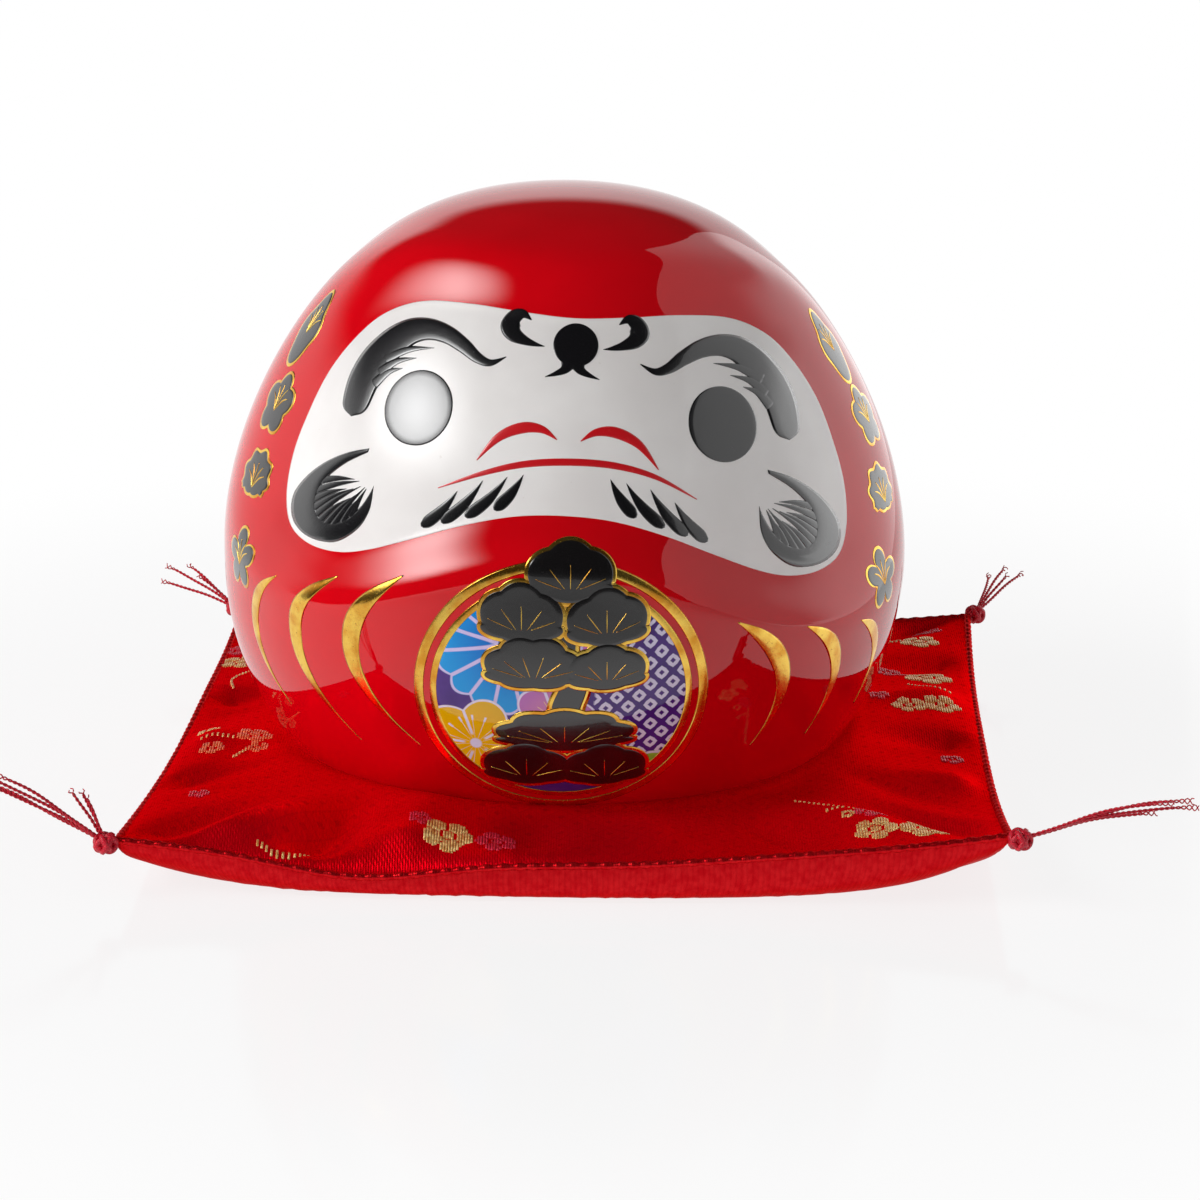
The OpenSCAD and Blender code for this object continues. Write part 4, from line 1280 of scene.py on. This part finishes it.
floats = {
    # millimetres between threads, breadth and height of a thread, rings along it, and how ragged its ends are
    "pitch": 0.44, "width": 0.4, "rise": 0.16, "steps": 5, "jitter": 0.3, "dotPitch": 0.95,
    "kinds": ["gilt", "rose", "coral"],
    # plum blossoms: x, y, radius, turn, and the thread they are woven with
    "plums": [
        (50.6, -62.4, 3.7, 0.3, "gilt"), (58.4, -62.8, 4.2, 1.2, "gilt"), (50.2, -54.6, 3.0, 0.8, "rose"),
        (46.6, -55.4, 1.3, 0.0, "gilt"), (-18.0, -64.8, 4.2, 0.5, "gilt"), (-10.2, -65.4, 3.4, 1.4, "rose"),
        (-22.6, -61.8, 2.0, 0.3, "rose"), (-53.6, -12.8, 3.3, 0.2, "coral"),
        (-52.6, -18.2, 2.0, 1.0, "coral"), (-60.6, -18.6, 2.4, 0.6, "coral"),
        (-62.0, -9.0, 2.2, 0.1, "gilt"), (66.5, 25.2, 4.6, 0.4, "gilt"), (59.7, 30.3, 3.2, 0.9, "rose"),
        (67.2, 5.8, 3.6, 0.3, "gilt"), (61.4, 4.6, 3.2, 1.3, "gilt"), (56.4, 9.0, 2.0, 0.3, "rose"),
        (67.0, 50.2, 4.0, 0.7, "gilt"), (60.4, 55.6, 3.2, 0.2, "gilt"), (69.4, 59.6, 2.8, 1.1, "rose"),
        (-12.0, 60.4, 4.0, 0.5, "gilt"), (-4.4, 63.4, 3.2, 1.0, "gilt"), (3.4, 60.0, 2.6, 0.1, "rose"),
        (34.0, 61.6, 3.6, 0.3, "gilt"), (40.6, 58.4, 2.8, 0.9, "coral"), (-60.8, 38.6, 4.0, 0.4, "gilt"),
        (-62.0, 46.6, 3.0, 1.0, "rose"), (-46.4, 60.0, 3.4, 0.7, "gilt"), (-60.0, -44.6, 2.0, 0.2, "rose"),
        (66.4, -24.4, 2.2, 0.5, "rose")
    ],
    # twigs, dotted in gilt: points of a curve, and the size of a dot
    "twigs": [
        ([(38.6, -44.8), (42.0, -47.6), (46.4, -50.6), (49.6, -52.8)], 0.42),
        ([(43.4, -52.4), (46.6, -50.8)], 0.42), ([(-57.2, -14.4), (-60.4, -13.6), (-63.6, -14.2)], 0.45),
        ([(-56.4, -22.6), (-54.6, -19.2)], 0.4),
        ([(-48.4, -66.6), (-45.6, -68.4), (-42.2, -68.2), (-40.2, -66.2)], 0.5),
        ([(62.4, 18.6), (66.2, 14.0), (70.0, 12.2)], 0.45),
        ([(56.0, 46.0), (60.2, 49.6), (65.4, 52.8)], 0.45),
        ([(-17.2, 56.4), (-22.4, 57.8), (-27.0, 62.2)], 0.45),
        ([(-58.2, 32.6), (-61.4, 27.0), (-60.6, 21.4)], 0.45),
        ([(28.0, 58.6), (23.0, 61.6), (17.6, 61.0)], 0.45)
    ],
}


def inPlum(x, y, radius, turn):
    # five petals, r < radius (0.74 + 0.26 |cos|), parted by thin gaps, with a bare ring round the middle
    r, a = np.hypot(x, y), np.arctan2(y, x) * 2.5 + turn
    gap = (np.abs(np.cos(a)) * r < 0.42) & (r > 1.1)
    return (r < radius * (0.74 + 0.26 * np.abs(np.cos(a)))) & ~gap & (np.abs(r - radius * 0.3) > 0.24)


def clippedThreads(inside, x0, y0, reach, pitch):
    # threads lie front to back at even steps; each unbroken stretch inside the shape is one float
    y = np.arange(-reach, reach, 0.12)
    out = []
    for x in np.arange(-reach, reach, pitch):
        mask = np.concatenate([[False], inside(x + 0 * y, y), [False]])
        change = np.flatnonzero(mask[1:] != mask[:-1])
        for a, b in zip(change[::2], change[1::2]):
            if b - a > 2:
                out.append((x0 + x, y0 + y[a], y0 + y[min(b, len(y) - 1)]))
    return out


def wovenThreads(f):
    # every float as x and its two ends, with the number of its thread
    threads, kinds = [], []
    for x, y, radius, turn, kind in f["plums"]:
        found = clippedThreads(lambda u, v: inPlum(u, v, radius, turn), x, y, radius + 0.4, f["pitch"])
        threads += found
        kinds += [f["kinds"].index(kind)] * len(found)
    for points, size in f["twigs"]:
        line = curveThrough(points, 7)
        length = np.concatenate([[0], np.cumsum(np.linalg.norm(np.diff(line, axis=0), axis=1))])
        at = np.arange(0, length[-1], f["dotPitch"])
        for x, y in zip(np.interp(at, length, line[:, 0]), np.interp(at, length, line[:, 1])):
            threads.append((x, y - size, y + size))
            kinds.append(0)
    x, low, high = np.array(threads).T
    low, high = low - seed.uniform(0, f["jitter"], len(x)), high + seed.uniform(0, f["jitter"], len(x))
    return x, low, high, np.array(kinds)


def buildFloats(f):
    # each float is a low arch of five-sided rings laid on the cloth along its normal
    x, low, high, kinds = wovenThreads(f)
    across = np.array([-0.5, -0.32, 0.32, 0.5, 0.0]) * f["width"]
    up = np.array([0, 1, 1, 0, -0.8]) * f["rise"]
    t = np.linspace(0, 1, f["steps"])
    px = x[:, None, None] + across + 0 * t[:, None]
    py = low[:, None, None] + (high - low)[:, None, None] * t[:, None] + 0 * across
    p = onCloth(px, py)
    step = 0.2
    normal = np.cross(onCloth(px + step, py) - p, onCloth(px, py + step) - p)
    normal /= np.linalg.norm(normal, axis=-1, keepdims=True)
    arch = 0.55 + 0.45 * np.sin(math.pi * t)[:, None]
    p = p + normal * (up * arch)[..., None]
    ends = p[:, [0, -1]].mean(2)
    verts = np.concatenate([p.reshape(len(x), -1, 3), ends], 1)
    _, quads, tris = closedForm(p[0], ends[0, 0], ends[0, 1])
    shift = (np.arange(len(x)) * verts.shape[1])[:, None, None]
    form = verts.reshape(-1, 3), (quads[None] + shift).reshape(-1, 4), (tris[None] + shift).reshape(-1, 3)
    return form, np.concatenate([np.repeat(kinds, len(quads)), np.repeat(kinds, len(tris))])


def makeFloatThread(name, bright, dull, metallic, roughness):
    material, wire, shader = startMaterial(name, {"Metallic": metallic, "Specular IOR Level": 0.4})
    place = objectPlace(wire)
    glint = noise(wire, place, 1.4, 3.0, 0.6)
    plug(glint.fade(0.35, 0.65).paint(dull, bright), shader, "Base Color")
    plug(glint * 0.2 + roughness, shader, "Roughness")
    bumped(wire, shader, noise(wire, place, 5.0, 2.0), 0.3, 0.06)
    return material


floatForm, floatMaterial = buildFloats(floats)
floatThreads = [makeFloatThread("giltThread", srgb(252, 222, 150), srgb(214, 150, 74), 0.4, 0.3),
                makeFloatThread("roseThread", srgb(232, 44, 78), srgb(196, 8, 36), 0.2, 0.36),
                makeFloatThread("coralThread", srgb(250, 146, 92), srgb(226, 84, 50), 0.3, 0.36)]
makePiece("brocadeFloats", floatForm, floatThreads, "cushion", faceMaterial=floatMaterial)
print("brocade floats woven:", len(floatForm[0]), "points")


def tubeForm(path, radius, sides=6, closed=False):
    # circles carried along a path, each turned by the least amount from a fixed upright
    tangent = np.gradient(path, axis=0)
    if closed:
        tangent = np.roll(path, -1, 0) - np.roll(path, 1, 0)
    tangent /= np.linalg.norm(tangent, axis=1, keepdims=True)
    guide = np.where(np.abs(tangent[:, 2:]) > 0.9, [[1.0, 0, 0]], [[0, 0, 1.0]])
    if closed:
        guide = np.broadcast_to(path / np.linalg.norm(path, axis=1, keepdims=True), path.shape)
    side = np.cross(tangent, guide)
    side /= np.linalg.norm(side, axis=1, keepdims=True)
    other = np.cross(tangent, side)
    a = np.arange(sides) / sides * 2 * math.pi
    r = np.broadcast_to(radius, (len(path),))[:, None, None]
    circle = np.cos(a)[None, :, None] * side[:, None] + np.sin(a)[None, :, None] * other[:, None]
    points = path[:, None] + r * circle
    if closed:
        return points
    return closedForm(points, path[0], path[-1])


welt = {"radius": 0.62, "gather": 2.3, "rows": 10}


def buildWelt(c):
    # the turned-in edge of the two cloths: a low roll round the seam, nipped at every gather
    n = cushion["columns"] * 3
    th = np.arange(n) / n * 2 * math.pi
    centre = seamPoint(th)
    s = perimeterPlace(th)
    tangent = np.roll(centre, -1, 0) - np.roll(centre, 1, 0)
    tangent /= np.linalg.norm(tangent, axis=1, keepdims=True)
    outward = np.stack([tangent[:, 1], -tangent[:, 0], 0 * s], -1)
    up = np.array([0, 0, 1.0])
    nip = 0.5 + 0.5 * np.sin(s * 2 * math.pi / c["gather"] + 1.2 * np.sin(s * 0.43))
    r = c["radius"] * (0.78 + 0.3 * nip)
    rows = []
    for a in np.arange(c["rows"]) / c["rows"] * 2 * math.pi:
        twist = a + 0.5 * np.sin(s * 2 * math.pi / c["gather"])
        lift = r * np.sin(twist)
        reach = r * np.cos(twist) * 1.1 - 0.1
        rows.append(centre + outward * reach[:, None] + up * lift[:, None])
    points = np.array(rows)
    uv = np.stack([np.broadcast_to(s / 800, points.shape[:2]), np.zeros(points.shape[:2])], -1)
    return closedForm(points, wrapRows=True), uv.reshape(-1, 2)


weltForm, weltUV = buildWelt(welt)
weltPiece = makePiece("cushionSeam", weltForm, [satin], "cushion", uv=weltUV)


def makeThread():
    material, wire, shader = startMaterial("silkThread", {
        "Roughness": 0.45, "Sheen Weight": 0.4, "Sheen Roughness": 0.3, "Sheen Tint": srgb(255, 110, 110)
    })
    place = objectPlace(wire)
    fibre = noise(wire, place, 2.5, 3.0, 0.7)
    plug(fibre.fade(0.3, 0.7).paint(srgb(176, 4, 34), srgb(222, 20, 48)), shader, "Base Color")
    bumped(wire, shader, fibre, 0.4, 0.1)
    return material


tassels = {
    "ply": 0.17, "pitch": 1.7, "knot": 1.45, "wrap": 0.5,
    "places": {
        # corner angle, then for each thread its compass direction, rise and length
        "front_left": (225, [(184, 33, 24.5), (189, 37, 23), (179, 31, 21), (192, 42, 19.5), (176, 60, 8.5),
                             (170, 68, 7.5), (186, 72, 6.5)]),
        "front_right": (315, [(-6, 19, 26.5), (-3, 21, 26), (-8, 23, 23), (-1, 17, 20)]),
        "back_right": (45, [(48, 22, 15), (60, 30, 13), (70, 18, 14), (38, 40, 9)]),
        "back_left": (135, [(158, 28, 15), (170, 20, 14), (148, 34, 12), (180, 44, 8)]),
    },
}


def threadForms(start, azimuth, rise, length, bend):
    # two plies twisted round a line that rises and droops; the tip frays apart
    t = tassels
    n = int(length / 0.24)
    s = np.linspace(0, 1, n)
    a = math.radians(azimuth) + bend * s**1.5
    e = math.radians(rise) - 0.35 * s**2 * (length / 24) + 0.05 * np.sin(s * 9 + azimuth)
    step = length / (n - 1)
    way = np.stack([np.cos(a) * np.cos(e), np.sin(a) * np.cos(e), np.sin(e)], -1) * step
    path = start + np.cumsum(way, axis=0) - way[0]
    side = np.stack([-np.sin(a), np.cos(a), 0 * a], -1)
    other = np.cross(way / step, side)
    spin = s * length / t["pitch"] * 2 * math.pi
    fanned = t["ply"] * (0.85 + 2.2 * smooth01((s - 0.86) / 0.14))
    forms = []
    for phase in (0, math.pi):
        offset = np.cos(spin + phase)[:, None] * side + np.sin(spin + phase)[:, None] * other
        forms.append(tubeForm(path + offset * fanned[:, None], t["ply"] * (1 - 0.45 * s**6), 5))
    return forms


def buildKnot(centre):
    # a cord wound over a ball: longitude turns four times while latitude swings five
    t = np.arange(260) / 260 * 2 * math.pi
    lat, lon = 1.12 * np.sin(5 * t), 4 * t
    r = tassels["knot"] * (1 + 0.16 * np.cos(10 * t + 0.7))
    path = np.stack([np.cos(lat) * np.cos(lon), np.cos(lat) * np.sin(lon), np.sin(lat)], -1) * r[:, None]
    cord = closedForm(tubeForm(path, tassels["wrap"], 6, True), wrapRows=True)
    ballT = np.linspace(0, math.pi, 12)[1:-1]
    a = np.arange(16) / 16 * 2 * math.pi
    ball = np.stack([np.sin(ballT)[:, None] * np.cos(a), np.sin(ballT)[:, None] * np.sin(a),
                     np.cos(ballT)[:, None] + 0 * a], -1) * 1.35
    core = closedForm(ball, np.array([0, 0, 1.35]), np.array([0, 0, -1.35]))
    forms = joined([cord, core])
    return forms[0] + centre, forms[1], forms[2]


silk = makeThread()
for name, (corner, threads) in tassels["places"].items():
    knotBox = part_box("tassel_knot_" + name)
    centre = (np.array(knotBox[0]) + np.array(knotBox[1])) / 2 / mm
    knot = buildKnot(centre)
    makePiece("tasselKnot_" + name, knot, [silk], "cushion", ["tassel_knot_" + name])
    forms = []
    for azimuth, rise, length in threads:
        bend = seed.normal(0, 0.12)
        a, e = math.radians(azimuth), math.radians(rise)
        out = np.array([math.cos(a) * math.cos(e), math.sin(a) * math.cos(e), math.sin(e)])
        forms += threadForms(centre + out * 1.9, azimuth, rise, length, bend)
    bundle = joined(forms)
    makePiece("tasselThreads_" + name, bundle, [silk], "cushion", ["tassel_threads_" + name])
print("tassels made")


stage = {
    "size": 3000.0,              # half the floor's side
    "floor": (246, 244, 245),
    "plain": 0.82,               # share of plain white in the floor's look close to the doll
    "clean": (110.0, 260.0),     # it turns all plain between these distances
    "dark": (420.0, 700.0),      # in front it darkens between these, as reflections show
    "backdropTop": (0.36, 0.50), # sines of the rise between which the white backdrop ends
    "room": 0.03,                # what the rest of the room sends to a reflection
    "fill": 0.55,                # brightness of the soft light from below the horizon and all round it
    "lamps": [
        # name, centre, along, across, length and breadth in millimetres, brightness at the middle, where 1
        # shows as white, how fast it falls off towards the edge, and whether reflections show it
        ("leftBox", (-590, -240, 520), (0.38, -0.92, 0.0), (0.57, 0.24, 0.79), 900, 560, 10.0, 3.0, True),
        ("rightCard", (380, -40, 124), (0.29, -0.88, -0.37), (0.0, 0.39, -0.92), 1200, 745, 0.66, 0.0, True),
        ("frontFill", (-380, -760, 160), (0.89, -0.45, 0.0), (0.0, 0.0, 1.0), 500, 260, 2.2, 0.0, False),
        ("leftWash", (-760, -260, 230), (0.32, -0.95, 0.0), (0.26, 0.09, 0.96), 500, 400, 3.6, 0.0, False),
    ],
}


def addLamp(name, centre, along, across, length, breadth, bright, fall, mirrored):
    # a card that shines towards the doll: watts are brightness x pi x area; with a fall the light dies out
    # from the middle as (1 - distance squared) to that power
    data = bpy.data.lights.new(name, "AREA")
    data.shape = "RECTANGLE"
    data.size, data.size_y = length * mm, breadth * mm
    data.energy = bright * math.pi * data.size * data.size_y
    if fall:
        data.use_nodes = True
        wire = Wire(data.node_tree, None)
        u, v, _ = wire.put("ShaderNodeNewGeometry", out=5).parts()
        u, v = u * 2.0 - 1.0, v * 2.0 - 1.0
        strength = wire.sum("POWER", (1 - (u * u + v * v)).high(0.0), fall)
        emission = data.node_tree.nodes["Emission"]
        data.node_tree.links.new(strength.socket, emission.inputs["Strength"])
    lamp = bpy.data.objects.new(name, data)
    lamp.location = [v * mm for v in centre]
    x = np.array(along) / np.linalg.norm(along)
    z = np.cross(x, across)
    z /= np.linalg.norm(z)
    if z @ np.array(centre) < 0:
        z = -z
    turn = Matrix(np.stack([x, np.cross(z, x), z], -1).tolist())
    lamp.rotation_euler = turn.to_euler()
    lamp.visible_camera = False
    lamp.visible_glossy = mirrored
    bpy.context.scene.collection.objects.link(lamp)


def raySeen(wire, *kinds):
    # 1 for rays of any of these kinds
    node = wire.put("ShaderNodeLightPath").socket.node
    total = Wire(wire.tree, node.outputs[kinds[0]])
    for kind in kinds[1:]:
        total = total + Wire(wire.tree, node.outputs[kind])
    return total.low(1.0)


def makeFloor(s):
    size = s["size"]
    mesh = bpy.data.meshes.new("floor")
    corners = [(-size, -size, 0), (size, -size, 0), (size, size, 0), (-size, size, 0)]
    mesh.from_pydata([[v * mm for v in c] for c in corners], [], [(0, 1, 2, 3)])
    floor = bpy.data.objects.new("floor", mesh)
    bpy.context.scene.collection.objects.link(floor)
    material, wire, shader = startMaterial("floorGloss", {
        "Base Color": srgb(*s["floor"]), "Roughness": 0.1, "Specular IOR Level": 0.9
    })
    x, y, _ = objectPlace(wire).parts()
    distance = (x * x + y * y).root()
    plain = distance.fade(*s["clean"]) * (1 - s["plain"]) + s["plain"]
    far = plain * raySeen(wire, "Is Camera Ray", "Is Glossy Ray", "Is Transmission Ray")
    ahead = y.fade(-60.0, -240.0) * x.fade(-420.0, -60.0) * 0.5
    dim = (distance.fade(*s["dark"]) * y.fade(50.0, -50.0)).high(ahead) * raySeen(wire, "Is Glossy Ray")
    white = wire.put("ShaderNodeEmission", {}, {"Strength": 1 - dim * 0.97})
    mix = wire.put("ShaderNodeMixShader", {}, {0: far, 1: Wire(wire.tree, shader.outputs[0]), 2: white})
    wire.tree.links.new(mix.socket, material.node_tree.nodes["Material Output"].inputs["Surface"])
    mesh.materials.append(material)


def makeWorld(s):
    # white to the camera; a reflection finds the backdrop low behind the doll and a dark room elsewhere
    world = bpy.data.worlds.new("room")
    bpy.context.scene.world = world
    world.use_nodes = True
    tree = world.node_tree
    wire = Wire(tree, None)
    _, y, z = wire.put("ShaderNodeTexCoord").parts()
    backdrop = y.fade(0.0, 0.25) * z.fade(s["backdropTop"][1], s["backdropTop"][0])
    seen = raySeen(wire, "Is Camera Ray", "Is Transmission Ray")
    glossy = raySeen(wire, "Is Glossy Ray") * (1 - seen)
    inMirror = backdrop * (1 - s["room"]) + s["room"]
    strength = seen + glossy * inMirror + (1 - seen) * (1 - glossy) * z.fade(0.75, -0.1) * s["fill"]
    tree.nodes["Background"].inputs["Color"].default_value = (1, 1, 1, 1)
    tree.links.new(strength.socket, tree.nodes["Background"].inputs["Strength"])


makeFloor(stage)
makeWorld(stage)
for lamp in stage["lamps"]:
    addLamp(*lamp)
bpy.context.scene.view_settings.view_transform = "Standard"
print("floor, room and lamps made")
